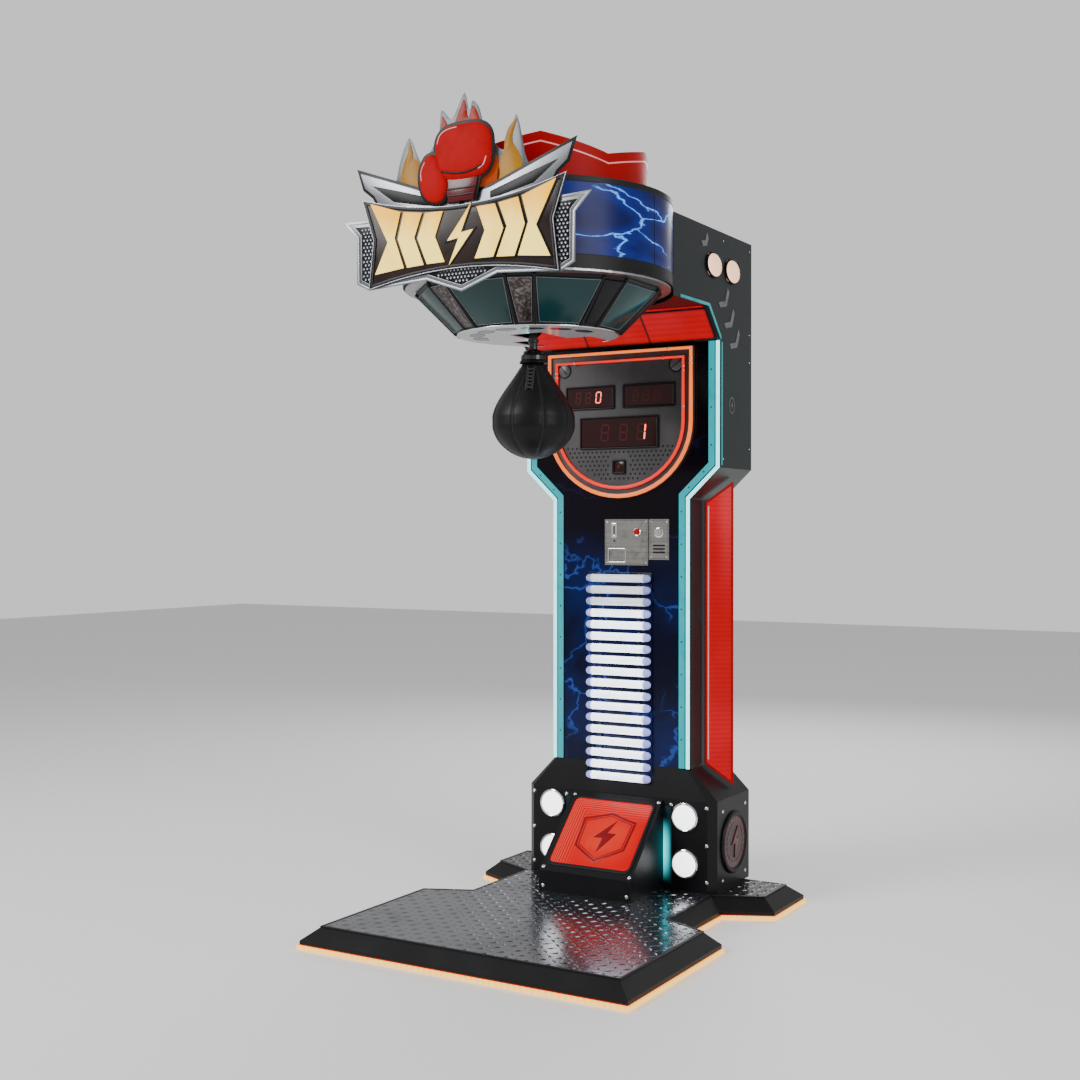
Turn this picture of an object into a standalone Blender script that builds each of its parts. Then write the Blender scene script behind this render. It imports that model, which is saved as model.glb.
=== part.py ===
"""Arcade boxing punch machine: lit platform, pedestal, column, scoreboard, head, sign and swinging ball.

Metres, +Z up. The front faces -Y, and the origin is on the floor under the middle of the footprint.
"""

import math

import bmesh
import bpy
from mathutils import Vector

# driving sizes
GAP = 0.0003
WALL = 0.003

BASE_HALF_WIDTH = 0.527
BASE_HALF_DEPTH = 0.616
BASE_SHOULDER_Y = -0.036
NECK_HALF_WIDTH = 0.381
NECK_FRONT_Y = 0.030
NECK_REAR_Y = 0.295
WING_Y = 0.365
BASE_BOTTOM_Z = 0.0125
BASE_RIM_Z = 0.0246
BASE_TOP_Z = 0.0588
BASE_SLOPE = 0.0423
DECK_THICKNESS = 0.003
DECK_TOP_Z = BASE_TOP_Z + GAP + DECK_THICKNESS
STRIP_OVERHANG = 0.006
FOOT_X = 0.43
FOOT_Y = 0.53
FOOT_RADIUS = 0.03

PEDESTAL_HALF_WIDTH = 0.3395
PEDESTAL_FRONT_Y = 0.3345
PEDESTAL_REAR_Y = 0.612
PEDESTAL_CORNER = 0.0235
PEDESTAL_SHOULDER_Z = 0.347
PEDESTAL_TOP_Z = 0.443
LAMP_X = 0.24
LAMP_HEIGHTS = (0.147, 0.294)
LAMP_RADIUS = 0.043
MEDALLION_RADIUS = 0.1
MEDALLION_Y = 0.485
MEDALLION_Z = 0.2

WEDGE_HALF_WIDTH = 0.1626
WEDGE_FRONT_Y = 0.110
WEDGE_FRONT_Z = 0.1265
WEDGE_TOP_Z = 0.3423
WINDOW_HALF_WIDTH = 0.1435
WINDOW_START = 0.030
WINDOW_END = 0.288

COLUMN_HALF_WIDTH = 0.249
COLUMN_FRONT_Y = 0.353
COLUMN_REAR_Y = 0.601
FLARE_START_Z = 1.2953
FLARE_END_Z = 1.3927
UPPER_HALF_WIDTH = 0.351
SEAM_Z = 1.789
PANEL_THICKNESS = 0.003
STRIP_WIDTH = 0.04
STRIP_THICKNESS = 0.0062
GLOW_INNER = (0.2525, 0.447)
GLOW_OUTER = (0.328, 0.515)

TUBE_COUNT = 18
TUBE_HALF_LENGTH = 0.1168
TUBE_RADIUS = 0.01475
TUBE_PITCH = 0.03778
TUBE_FIRST_Z = 0.3998

COIN_LEFT = -0.055
COIN_RIGHT = 0.1013
COIN_BOTTOM = 1.084
COIN_TOP = 1.2327
COIN_DEPTH = 0.46
REJECT_X = 0.062
REJECT_Z = 1.192
REJECT_RADIUS = 0.009
FLAP_X = -0.01
FLAP_TOP_Z = 1.134
FLAP_WIDTH = 0.056
FLAP_HEIGHT = 0.036
LOCK_PLATE_LEFT = 0.104
LOCK_PLATE_RIGHT = 0.1756
LOCK_PLATE_BOTTOM = 1.1027
LOCK_X = 0.14
LOCK_Z = 1.19
LOCK_RADIUS = 0.010

SHIELD_HALF_WIDTH = 0.2635
SHIELD_TOP_Z = 1.778
SHIELD_BEND_Z = 1.542
SHIELD_BOTTOM_Z = 1.3005
SHIELD_THICKNESS = 0.008
NEON_OUTER_INSET = 0.007
NEON_INNER_INSET = 0.034
NEON_OUTER_RADIUS = 0.0065
NEON_INNER_RADIUS = 0.0055

DOOR_HALF_WIDTH = 0.21
DOOR_BOTTOM_Z = 0.51
DOOR_TOP_Z = 1.23
DOOR_LAP = 0.01
DOOR_HINGE_RADIUS = 0.005
DOOR_LOCK_X = 0.18
DOOR_LOCK_Z = 0.87

HEAD_TOP_Z = 2.126
HEAD_UNDERSIDE_Z = 1.883
HEAD_BEND_Y = 0.2625
HEAD_FRONT_Y = -0.02
OVAL_CENTRES_Y = (0.2995, 0.4415)
OVAL_Z = 2.014
OVAL_HALF_LENGTH = 0.0525
OVAL_HALF_HEIGHT = 0.035

DRUM_Y = -0.168
DRUM_RADIUS = 0.3945
DRUM_BOTTOM_Z = 1.9
DRUM_TOP_Z = 2.146
CROWN_RADIUS = 0.32
CROWN_TOP_Z = 2.28
CROWN_DIP = 0.045
CROWN_TEETH = 5
CROWN_TURN = -58
CROWN_STEPS = 70
HANGER_RADIUS = 0.388
HANGER_TOP_Z = 1.8995
HANGER_THICKNESS = 0.006
WIRING_HOLES_Y = (-0.375, 0.055)
SKIRT_TOP_Z = 1.8908
SKIRT_BOTTOM_Z = 1.768
SKIRT_TOP_RADIUS = 0.36
SKIRT_BOTTOM_RADIUS = 0.237
SKIRT_FACETS = 16
SLOT_HALF_WIDTH = 0.135
SLOT_START = 0.1
NECK_SLOT_HALF_WIDTH = 0.055

PIVOT_Y = -0.195
PIVOT_Z = 1.85
EAR_X = 0.06
EAR_THICKNESS = 0.012
AXLE_RADIUS = 0.01
BEARING_RADIUS = 0.02
BEARING_BORE = 0.0101
ARM_RADIUS = 0.012
HUB_RADIUS = 0.022
HUB_LENGTH = 0.09
COLLAR_RADIUS = 0.036
BALL_TOP_Z = 1.692
BALL_BOTTOM_Z = 1.403
BALL_RADIUS = 0.12
STOP_Y = 0.175

SIGN_Y = DRUM_Y - DRUM_RADIUS
LAYER = 0.003


# scene and materials
for old in list(bpy.data.objects):
    bpy.data.objects.remove(old, do_unlink=True)
parts = bpy.data.collections.new("punch_machine")
cutters = bpy.data.collections.new("cutters")
bpy.context.scene.collection.children.link(parts)
bpy.context.scene.collection.children.link(cutters)


def material(name, colour, roughness, metallic=0.0, glow=0.0):
    made = bpy.data.materials.new(name)
    made.use_nodes = True
    shader = made.node_tree.nodes["Principled BSDF"]
    shader.inputs["Base Color"].default_value = (*colour, 1.0)
    shader.inputs["Roughness"].default_value = roughness
    shader.inputs["Metallic"].default_value = metallic
    shader.inputs["Emission Color"].default_value = (*colour, 1.0)
    shader.inputs["Emission Strength"].default_value = glow
    return made


# shape helpers
def add(name, mesh, colour, smooth=False):
    """A node of the machine: one named object with a material of its own."""
    obj = bpy.data.objects.new(name, mesh)
    parts.objects.link(obj)
    mesh.materials.clear()
    mesh.materials.append(material(name, *colour))
    if smooth:
        mesh.shade_smooth()
        mesh.set_sharp_from_angle(angle=math.radians(35))
    return obj


def cutter(name, mesh):
    obj = bpy.data.objects.new(name, mesh)
    cutters.objects.link(obj)
    obj.hide_render = True
    obj.display_type = "WIRE"
    return obj


def mesh_from(bm, name):
    bmesh.ops.recalc_face_normals(bm, faces=bm.faces)
    mesh = bpy.data.meshes.new(name)
    bm.to_mesh(mesh)
    bm.free()
    return mesh


def box_mesh(name, low, high):
    bm = bmesh.new()
    bmesh.ops.create_cube(bm, size=1.0)
    size = Vector(high) - Vector(low)
    bmesh.ops.scale(bm, vec=size, verts=bm.verts)
    bmesh.ops.translate(bm, vec=(Vector(low) + Vector(high)) / 2, verts=bm.verts)
    return mesh_from(bm, name)


def cylinder_mesh(name, radius, low, high, axis="Z", segments=24, end_radius=None):
    """A cylinder or cone about a line parallel to X, Y or Z, from its low to its high end."""
    low = Vector(low)
    high = Vector(high)
    bm = bmesh.new()
    tip = radius if end_radius is None else end_radius
    bmesh.ops.create_cone(
        bm, cap_ends=True, segments=segments, radius1=radius, radius2=tip, depth=(high - low).length
    )
    turn = Vector((0, 0, 1)).rotation_difference((high - low).normalized())
    if axis != "Z":
        bmesh.ops.rotate(bm, cent=(0, 0, 0), matrix=turn.to_matrix(), verts=bm.verts)
    bmesh.ops.translate(bm, vec=(low + high) / 2, verts=bm.verts)
    return mesh_from(bm, name)


PLANES = {
    "up": (0.0, 0.0, 0.0),
    "front": (math.radians(90), 0.0, 0.0),
    "side": (math.radians(90), 0.0, math.radians(90)),
}


def plate_mesh(name, outlines, thickness, middle, plane="up", turn=None):
    """A flat outline, with any holes, as a plate of the given thickness centred on its own plane."""
    curve = bpy.data.curves.new(name, "CURVE")
    curve.dimensions = "2D"
    curve.fill_mode = "BOTH"
    curve.extrude = thickness / 2
    for outline in outlines:
        spline = curve.splines.new("POLY")
        spline.points.add(len(outline) - 1)
        for point, place in zip(spline.points, outline):
            point.co = (place[0], place[1], 0.0, 1.0)
        spline.use_cyclic_u = True
    drawn = bpy.data.objects.new(name, curve)
    parts.objects.link(drawn)
    drawn.rotation_euler = PLANES[plane] if turn is None else turn
    drawn.location = middle
    bpy.context.view_layer.update()
    evaluated = drawn.evaluated_get(bpy.context.evaluated_depsgraph_get())
    mesh = bpy.data.meshes.new_from_object(evaluated)
    mesh.transform(drawn.matrix_world)
    bpy.data.objects.remove(drawn, do_unlink=True)
    bm = bmesh.new()
    bm.from_mesh(mesh)
    bmesh.ops.remove_doubles(bm, verts=bm.verts, dist=0.00001)
    bmesh.ops.recalc_face_normals(bm, faces=bm.faces)
    bm.to_mesh(mesh)
    bm.free()
    return mesh


def loft_mesh(name, rings, close_top=False):
    """An open wall up through a stack of rings, each anticlockwise from above, so its faces point out."""
    bm = bmesh.new()
    loops = [[bm.verts.new(corner) for corner in ring] for ring in rings]
    for lower, upper in zip(loops, loops[1:]):
        for i in range(len(lower)):
            j = (i + 1) % len(lower)
            bm.faces.new((lower[i], lower[j], upper[j], upper[i]))
    if close_top:
        bm.faces.new(loops[-1])
    mesh = bpy.data.meshes.new(name)
    bm.to_mesh(mesh)
    bm.free()
    return mesh


def tube(name, path, radius, colour, cyclic=False, sides=2):
    curve = bpy.data.curves.new(name, "CURVE")
    curve.dimensions = "3D"
    curve.bevel_depth = radius
    curve.bevel_resolution = sides
    curve.use_fill_caps = not cyclic
    spline = curve.splines.new("POLY")
    spline.points.add(len(path) - 1)
    for point, place in zip(spline.points, path):
        point.co = (*place, 1.0)
    spline.use_cyclic_u = cyclic
    obj = bpy.data.objects.new(name, curve)
    parts.objects.link(obj)
    curve.materials.append(material(name, *colour))
    return obj


def turned_mesh(name, profile, steps=32):
    """A profile of (radius, z) points, top to bottom and closed, turned about Z."""
    bm = bmesh.new()
    points = [bm.verts.new((radius, 0.0, z)) for radius, z in profile]
    for a, b in zip(points, points[1:] + points[:1]):
        bm.edges.new((a, b))
    mesh = bpy.data.meshes.new(name)
    bm.to_mesh(mesh)
    bm.free()
    obj = bpy.data.objects.new(name, mesh)
    parts.objects.link(obj)
    screw = obj.modifiers.new("turn", "SCREW")
    screw.steps = steps
    screw.render_steps = steps
    screw.use_merge_vertices = True
    screw.merge_threshold = 0.00001
    bpy.context.view_layer.update()
    evaluated = obj.evaluated_get(bpy.context.evaluated_depsgraph_get())
    made = bpy.data.meshes.new_from_object(evaluated)
    bpy.data.objects.remove(obj, do_unlink=True)
    bm = bmesh.new()
    bm.from_mesh(made)
    bmesh.ops.remove_doubles(bm, verts=bm.verts, dist=0.00001)
    bmesh.ops.recalc_face_normals(bm, faces=bm.faces)
    bm.to_mesh(made)
    bm.free()
    return made


def solidify(obj, wall=WALL):
    thick = obj.modifiers.new("wall", "SOLIDIFY")
    thick.thickness = wall
    thick.offset = -1.0
    thick.use_even_offset = True
    return obj


def bevel(obj, width, segments=1, angle=40):
    rounded = obj.modifiers.new("edges", "BEVEL")
    rounded.width = width
    rounded.segments = segments
    rounded.limit_method = "ANGLE"
    rounded.angle_limit = math.radians(angle)
    return obj


def boolean(obj, tool, operation="DIFFERENCE"):
    cut = obj.modifiers.new(operation.lower(), "BOOLEAN")
    cut.operation = operation
    cut.object = tool
    cut.solver = "EXACT"
    return obj


def set_origin(obj, place):
    """Moves the object's own origin to a joint's axis without moving its shape."""
    place = Vector(place)
    for vertex in obj.data.vertices:
        vertex.co -= place
    obj.location = place
    return obj


def inset(outline, distance):
    """The closed outline (anticlockwise) moved inwards by a distance, corners kept sharp."""
    count = len(outline)
    moved = []
    for i in range(count):
        before = Vector(outline[i - 1])
        here = Vector(outline[i])
        after = Vector(outline[(i + 1) % count])
        first = (here - before).normalized()
        second = (after - here).normalized()
        normal_a = Vector((-first.y, first.x))
        normal_b = Vector((-second.y, second.x))
        mitre = (normal_a + normal_b).normalized()
        moved.append(here + mitre * (distance / mitre.dot(normal_a)))
    return [(point.x, point.y) for point in moved]


def mirrored(right_half):
    """A closed outline from its right half, listed from the lower middle round to the upper middle."""
    left = [(-x, y) for x, y in reversed(right_half) if abs(x) > 1e-6]
    return right_half + left


def rounded_box(half_width, half_height, radius, steps=4):
    corners = ((1, -1, -90), (1, 1, 0), (-1, 1, 90), (-1, -1, 180))
    outline = []
    for sign_x, sign_y, start in corners:
        for k in range(steps + 1):
            angle = math.radians(start + 90 * k / steps)
            outline.append(
                (
                    sign_x * (half_width - radius) + radius * math.cos(angle),
                    sign_y * (half_height - radius) + radius * math.sin(angle),
                )
            )
    return outline


def circle(radius, centre=(0.0, 0.0), segments=32, squash=1.0):
    turns = [2 * math.pi * i / segments for i in range(segments)]
    return [(centre[0] + radius * math.cos(a), centre[1] + radius * squash * math.sin(a)) for a in turns]


def shifted(outline, dx, dy):
    return [(x + dx, y + dy) for x, y in outline]


# finishes: colour, roughness, metallic, glow
BLACK_PAINT = ((0.012, 0.012, 0.015), 0.35)
DARK_STEEL = ((0.08, 0.08, 0.09), 0.4, 0.8)
CHECKER = ((0.45, 0.5, 0.55), 0.3, 0.9)
WARM_LED = ((1.0, 0.62, 0.2), 0.3, 0.0, 3.0)
WHITE_LED = ((0.95, 0.97, 1.0), 0.3, 0.0, 3.0)
CYAN_LED = ((0.5, 0.95, 0.95), 0.3, 0.0, 2.0)
RED_LED = ((0.9, 0.03, 0.06), 0.3, 0.0, 1.5)
NEON = ((1.0, 0.3, 0.2), 0.3, 0.0, 3.0)
NAVY = ((0.01, 0.015, 0.07), 0.15)
STAINLESS = ((0.6, 0.58, 0.55), 0.3, 1.0)
CHROME = ((0.8, 0.8, 0.82), 0.12, 1.0)
SILVER = ((0.6, 0.62, 0.65), 0.25, 0.9)
TEAL = ((0.02, 0.2, 0.22), 0.2)
BLUE = ((0.02, 0.04, 0.35), 0.2)
RED_GLOSS = ((0.7, 0.01, 0.02), 0.2)
FLAME = ((1.0, 0.45, 0.05), 0.3)
LEATHER = ((0.015, 0.014, 0.014), 0.45)
RUBBER = ((0.02, 0.02, 0.02), 0.8)
GREY_PLASTIC = ((0.15, 0.15, 0.16), 0.6)


# platform
def base_outline():
    return mirrored(
        [
            (BASE_HALF_WIDTH, -BASE_HALF_DEPTH),
            (BASE_HALF_WIDTH, BASE_SHOULDER_Y),
            (NECK_HALF_WIDTH, NECK_FRONT_Y),
            (NECK_HALF_WIDTH, NECK_REAR_Y),
            (BASE_HALF_WIDTH, WING_Y),
            (BASE_HALF_WIDTH, BASE_HALF_DEPTH),
        ]
    )


def build_platform():
    outline = base_outline()
    levels = ((0.0, BASE_BOTTOM_Z), (0.0, BASE_RIM_Z), (BASE_SLOPE, BASE_TOP_Z))
    rings = [[(x, y, z) for x, y in inset(outline, step)] for step, z in levels]
    frame = add("base_frame", loft_mesh("base_frame", rings, close_top=True), BLACK_PAINT)
    solidify(frame, 0.004)

    deck = inset(outline, BASE_SLOPE + 0.001)
    middle = (0, 0, DECK_TOP_Z - DECK_THICKNESS / 2)
    add("deck_plate", plate_mesh("deck_plate", [deck], DECK_THICKNESS, middle), CHECKER)

    ring = [inset(outline, -STRIP_OVERHANG), inset(outline, 0.01)]
    height = BASE_BOTTOM_Z - GAP - 0.0012
    strip = plate_mesh("base_led_strip", ring, height, (0, 0, 0.0012 + height / 2))
    add("base_led_strip", strip, WARM_LED)

    stem_top = BASE_TOP_Z - 0.004 - GAP
    profile = [
        (0.0, stem_top),
        (0.008, stem_top),
        (0.008, 0.01),
        (FOOT_RADIUS * 0.8, 0.008),
        (FOOT_RADIUS, 0.004),
        (FOOT_RADIUS, 0.0),
        (0.0, 0.0),
    ]
    for side, x in (("left", -FOOT_X), ("right", FOOT_X)):
        for end, y in (("front", -FOOT_Y), ("rear", FOOT_Y)):
            name = f"foot_{end}_{side}"
            mesh = turned_mesh(name, profile, 20)
            foot = add(name, mesh, RUBBER, smooth=True)
            foot.location = (x, y, 0)


# pedestal
def pedestal_ring(half_width, front, rear, corner, z):
    return [
        (-half_width + corner, front, z),
        (half_width - corner, front, z),
        (half_width, front + corner, z),
        (half_width, rear, z),
        (-half_width, rear, z),
        (-half_width, front + corner, z),
    ]


def build_pedestal():
    bottom = DECK_TOP_Z + GAP
    shape = (PEDESTAL_HALF_WIDTH, PEDESTAL_FRONT_Y, PEDESTAL_REAR_Y, PEDESTAL_CORNER)
    top = (COLUMN_HALF_WIDTH, COLUMN_FRONT_Y, COLUMN_REAR_Y, 0.012)
    rings = [
        pedestal_ring(*shape, bottom),
        pedestal_ring(*shape, PEDESTAL_SHOULDER_Z),
        pedestal_ring(*top, PEDESTAL_TOP_Z),
    ]
    shell = add("pedestal_shell", loft_mesh("pedestal_shell", rings), BLACK_PAINT)
    solidify(shell)

    tube_end = TUBE_HALF_LENGTH + 0.001
    low = (-tube_end, PEDESTAL_FRONT_Y - 0.02, TUBE_FIRST_Z - TUBE_RADIUS - 0.001)
    recess = box_mesh("tube_recess", low, (tube_end, COLUMN_FRONT_Y + 0.001, PEDESTAL_TOP_Z + 0.02))
    boolean(shell, cutter("tube_recess", recess))

    inside = PEDESTAL_FRONT_Y + WALL + GAP
    for side, sign in (("left", -1), ("right", 1)):
        name = f"pedestal_lamps_{side}"
        x = sign * LAMP_X
        bar = box_mesh(name, (x - 0.02, inside, 0.1), (x + 0.02, inside + 0.012, 0.325))
        lamps = add(name, bar, WHITE_LED, smooth=True)
        for i, z in enumerate(LAMP_HEIGHTS):
            hole = cylinder_mesh(
                "lamp_hole", LAMP_RADIUS + 0.0008, (x, inside - 0.02, z), (x, inside - GAP / 2, z), "Y"
            )
            boolean(shell, cutter(f"{name}_hole_{i}", hole))
            front = PEDESTAL_FRONT_Y - 0.004
            dome = cylinder_mesh("lamp", LAMP_RADIUS - 0.003, (x, front, z), (x, inside + 0.006, z), "Y")
            rim = cylinder_mesh("rim", LAMP_RADIUS, (x, front + 0.0025, z), (x, inside + 0.006, z), "Y")
            boolean(lamps, cutter(f"{name}_dome_{i}", dome), "UNION")
            boolean(lamps, cutter(f"{name}_rim_{i}", rim), "UNION")

        name = f"side_medallion_{side}"
        face = sign * (PEDESTAL_HALF_WIDTH + GAP)
        outer = sign * (PEDESTAL_HALF_WIDTH + 0.009)
        disc = cylinder_mesh(
            name, MEDALLION_RADIUS, (face, MEDALLION_Y, MEDALLION_Z), (outer, MEDALLION_Y, MEDALLION_Z),
            "X", 40, MEDALLION_RADIUS - 0.004,
        )
        add(name, disc, SILVER, smooth=True)


# cash wedge
def build_wedge():
    rear = PEDESTAL_FRONT_Y - GAP
    bottom = DECK_TOP_Z + GAP
    profile = [(WEDGE_FRONT_Y, bottom), (rear, bottom), (rear, WEDGE_TOP_Z), (WEDGE_FRONT_Y, WEDGE_FRONT_Z)]
    mesh = plate_mesh("wedge_housing", [profile], 2 * WEDGE_HALF_WIDTH, (0, 0, 0), "side")
    housing = add("wedge_housing", mesh, BLACK_PAINT)

    inner = inset(profile, 0.008)
    hollow = [
        (inner[0][0], bottom - 0.02),
        (rear + 0.02, bottom - 0.02),
        (rear + 0.02, inner[2][1] + 0.027),
        inner[3],
    ]
    tool = plate_mesh("wedge_hollow", [hollow], 2 * (WEDGE_HALF_WIDTH - 0.004), (0, 0, 0), "side")
    boolean(housing, cutter("wedge_hollow", tool))

    run = rear - WEDGE_FRONT_Y
    rise = WEDGE_TOP_Z - WEDGE_FRONT_Z
    tilt = math.atan2(rise, run)
    along = Vector((0, math.cos(tilt), math.sin(tilt)))
    outward = Vector((0, -math.sin(tilt), math.cos(tilt)))
    corner = Vector((0, WEDGE_FRONT_Y, WEDGE_FRONT_Z))
    centre = corner + along * (WINDOW_START + WINDOW_END) / 2
    half_run = (WINDOW_END - WINDOW_START) / 2
    hole = rounded_box(WINDOW_HALF_WIDTH + 0.0006, half_run + 0.0006, 0.02)
    tool = plate_mesh("window_hole", [hole], 0.04, centre, turn=(tilt, 0, 0))
    boolean(housing, cutter("window_hole", tool))
    pane = rounded_box(WINDOW_HALF_WIDTH, half_run, 0.0195)
    mesh = plate_mesh("wedge_window", [pane], 0.006, centre - outward * 0.003, turn=(tilt, 0, 0))
    add("wedge_window", mesh, RED_LED)

    low = (-0.12, 0.15, bottom + 0.002)
    high = (0.12, 0.31, bottom + 0.075)
    cash = add("cash_box", box_mesh("cash_box", low, high), DARK_STEEL)
    inner_low = [side + 0.002 for side in low]
    inner_high = (high[0] - 0.002, high[1] - 0.002, high[2] + 0.02)
    room = box_mesh("cash_room", inner_low, inner_high)
    boolean(cash, cutter("cash_room", room))


# column and upper box
def column_ring(half_width, z):
    front = COLUMN_FRONT_Y + PANEL_THICKNESS + GAP
    return [
        (-half_width, front, z),
        (half_width, front, z),
        (half_width, COLUMN_REAR_Y, z),
        (-half_width, COLUMN_REAR_Y, z),
    ]


def edge_path(step):
    """The right edge of the front, moved inwards by a step: points of (x, z) from the bottom up."""
    angle = math.atan2(FLARE_END_Z - FLARE_START_Z, UPPER_HALF_WIDTH - COLUMN_HALF_WIDTH)
    lift = step * math.tan((math.pi / 2 - angle) / 2)
    return [
        (COLUMN_HALF_WIDTH - step, PEDESTAL_TOP_Z + GAP),
        (COLUMN_HALF_WIDTH - step, FLARE_START_Z + lift),
        (UPPER_HALF_WIDTH - step, FLARE_END_Z + lift),
        (UPPER_HALF_WIDTH - step, SEAM_Z - GAP),
    ]


def build_column():
    levels = (
        (COLUMN_HALF_WIDTH, PEDESTAL_TOP_Z + GAP),
        (COLUMN_HALF_WIDTH, FLARE_START_Z),
        (UPPER_HALF_WIDTH, FLARE_END_Z),
        (UPPER_HALF_WIDTH, SEAM_Z),
    )
    rings = [column_ring(*level) for level in levels]
    shell = add("column_shell", loft_mesh("column_shell", rings), BLACK_PAINT)
    solidify(shell)
    opening = box_mesh(
        "door_opening",
        (-DOOR_HALF_WIDTH + DOOR_LAP, COLUMN_REAR_Y - 0.01, DOOR_BOTTOM_Z + DOOR_LAP),
        (DOOR_HALF_WIDTH - DOOR_LAP, COLUMN_REAR_Y + 0.01, DOOR_TOP_Z - DOOR_LAP),
    )
    boolean(shell, cutter("door_opening", opening))

    inner = edge_path(STRIP_WIDTH + GAP)
    outline = mirrored(inner)
    middle = (0, COLUMN_FRONT_Y + PANEL_THICKNESS / 2, 0)
    panel = add("front_panel", plate_mesh("front_panel", [outline], PANEL_THICKNESS, middle, "front"), NAVY)
    coin_hole = box_mesh(
        "coin_opening",
        (COIN_LEFT + 0.003, COLUMN_FRONT_Y - 0.01, COIN_BOTTOM + 0.002),
        (COIN_RIGHT - 0.003, COLUMN_FRONT_Y + 0.02, COIN_TOP - 0.003),
    )
    tool = cutter("coin_opening", coin_hole)
    boolean(panel, tool)
    boolean(shell, tool)

    strip = edge_path(0.0) + list(reversed(edge_path(STRIP_WIDTH)))
    middle_y = COLUMN_FRONT_Y + PANEL_THICKNESS - STRIP_THICKNESS / 2
    for side, sign in (("left", -1), ("right", 1)):
        outline = [(sign * x, z) for x, z in strip]
        mesh = plate_mesh("strip", [outline], STRIP_THICKNESS, (0, middle_y, 0), "front")
        add(f"edge_strip_{side}", mesh, CYAN_LED)
        build_side_glow(side, sign)


def build_side_glow(side, sign):
    """The slanted lit panel in the notch between the pedestal's slope and the flare above."""
    inner = Vector(GLOW_INNER)
    outer = Vector(GLOW_OUTER)
    width = (outer - inner).length
    slope_down = (PEDESTAL_TOP_Z - PEDESTAL_SHOULDER_Z) / (PEDESTAL_HALF_WIDTH - COLUMN_HALF_WIDTH)
    slope_up = (FLARE_END_Z - FLARE_START_Z) / (UPPER_HALF_WIDTH - COLUMN_HALF_WIDTH)
    reach_in = inner.x - COLUMN_HALF_WIDTH
    reach_out = outer.x - COLUMN_HALF_WIDTH
    clear = 0.006
    outline = [
        (0.0, PEDESTAL_TOP_Z - slope_down * reach_in + clear),
        (width, PEDESTAL_TOP_Z - slope_down * reach_out + clear),
        (width, FLARE_START_Z + slope_up * reach_out - clear),
        (0.0, FLARE_START_Z + slope_up * reach_in - clear),
    ]
    angle = math.atan2(outer.y - inner.y, outer.x - inner.x)
    if sign > 0:
        turn = (math.radians(90), 0, angle)
        place = (inner.x, inner.y, 0)
    else:
        outline = [(-u, v) for u, v in outline]
        turn = (math.radians(90), 0, -angle)
        place = (-inner.x, inner.y, 0)
    mesh = plate_mesh("glow", [outline], 0.005, place, turn=turn)
    add(f"side_glow_panel_{side}", mesh, RED_LED)


def build_light_tubes():
    """A stack of tubes as one moulded lens: a flat back with a row of round fronts."""
    back = COLUMN_FRONT_Y - GAP
    outline = [(back, TUBE_FIRST_Z - TUBE_RADIUS)]
    steps = 6
    for i in range(TUBE_COUNT):
        centre = TUBE_FIRST_Z + i * TUBE_PITCH
        for k in range(steps + 1):
            angle = math.radians(-90 + 180 * k / steps)
            front = back - 0.002 - TUBE_RADIUS * math.cos(angle)
            outline.append((front, centre + TUBE_RADIUS * math.sin(angle)))
    outline.append((back, TUBE_FIRST_Z + (TUBE_COUNT - 1) * TUBE_PITCH + TUBE_RADIUS))
    mesh = plate_mesh("light_tubes", [outline], 2 * TUBE_HALF_LENGTH, (0, 0, 0), "side")
    add("light_tubes", mesh, WHITE_LED, smooth=True)


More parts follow.
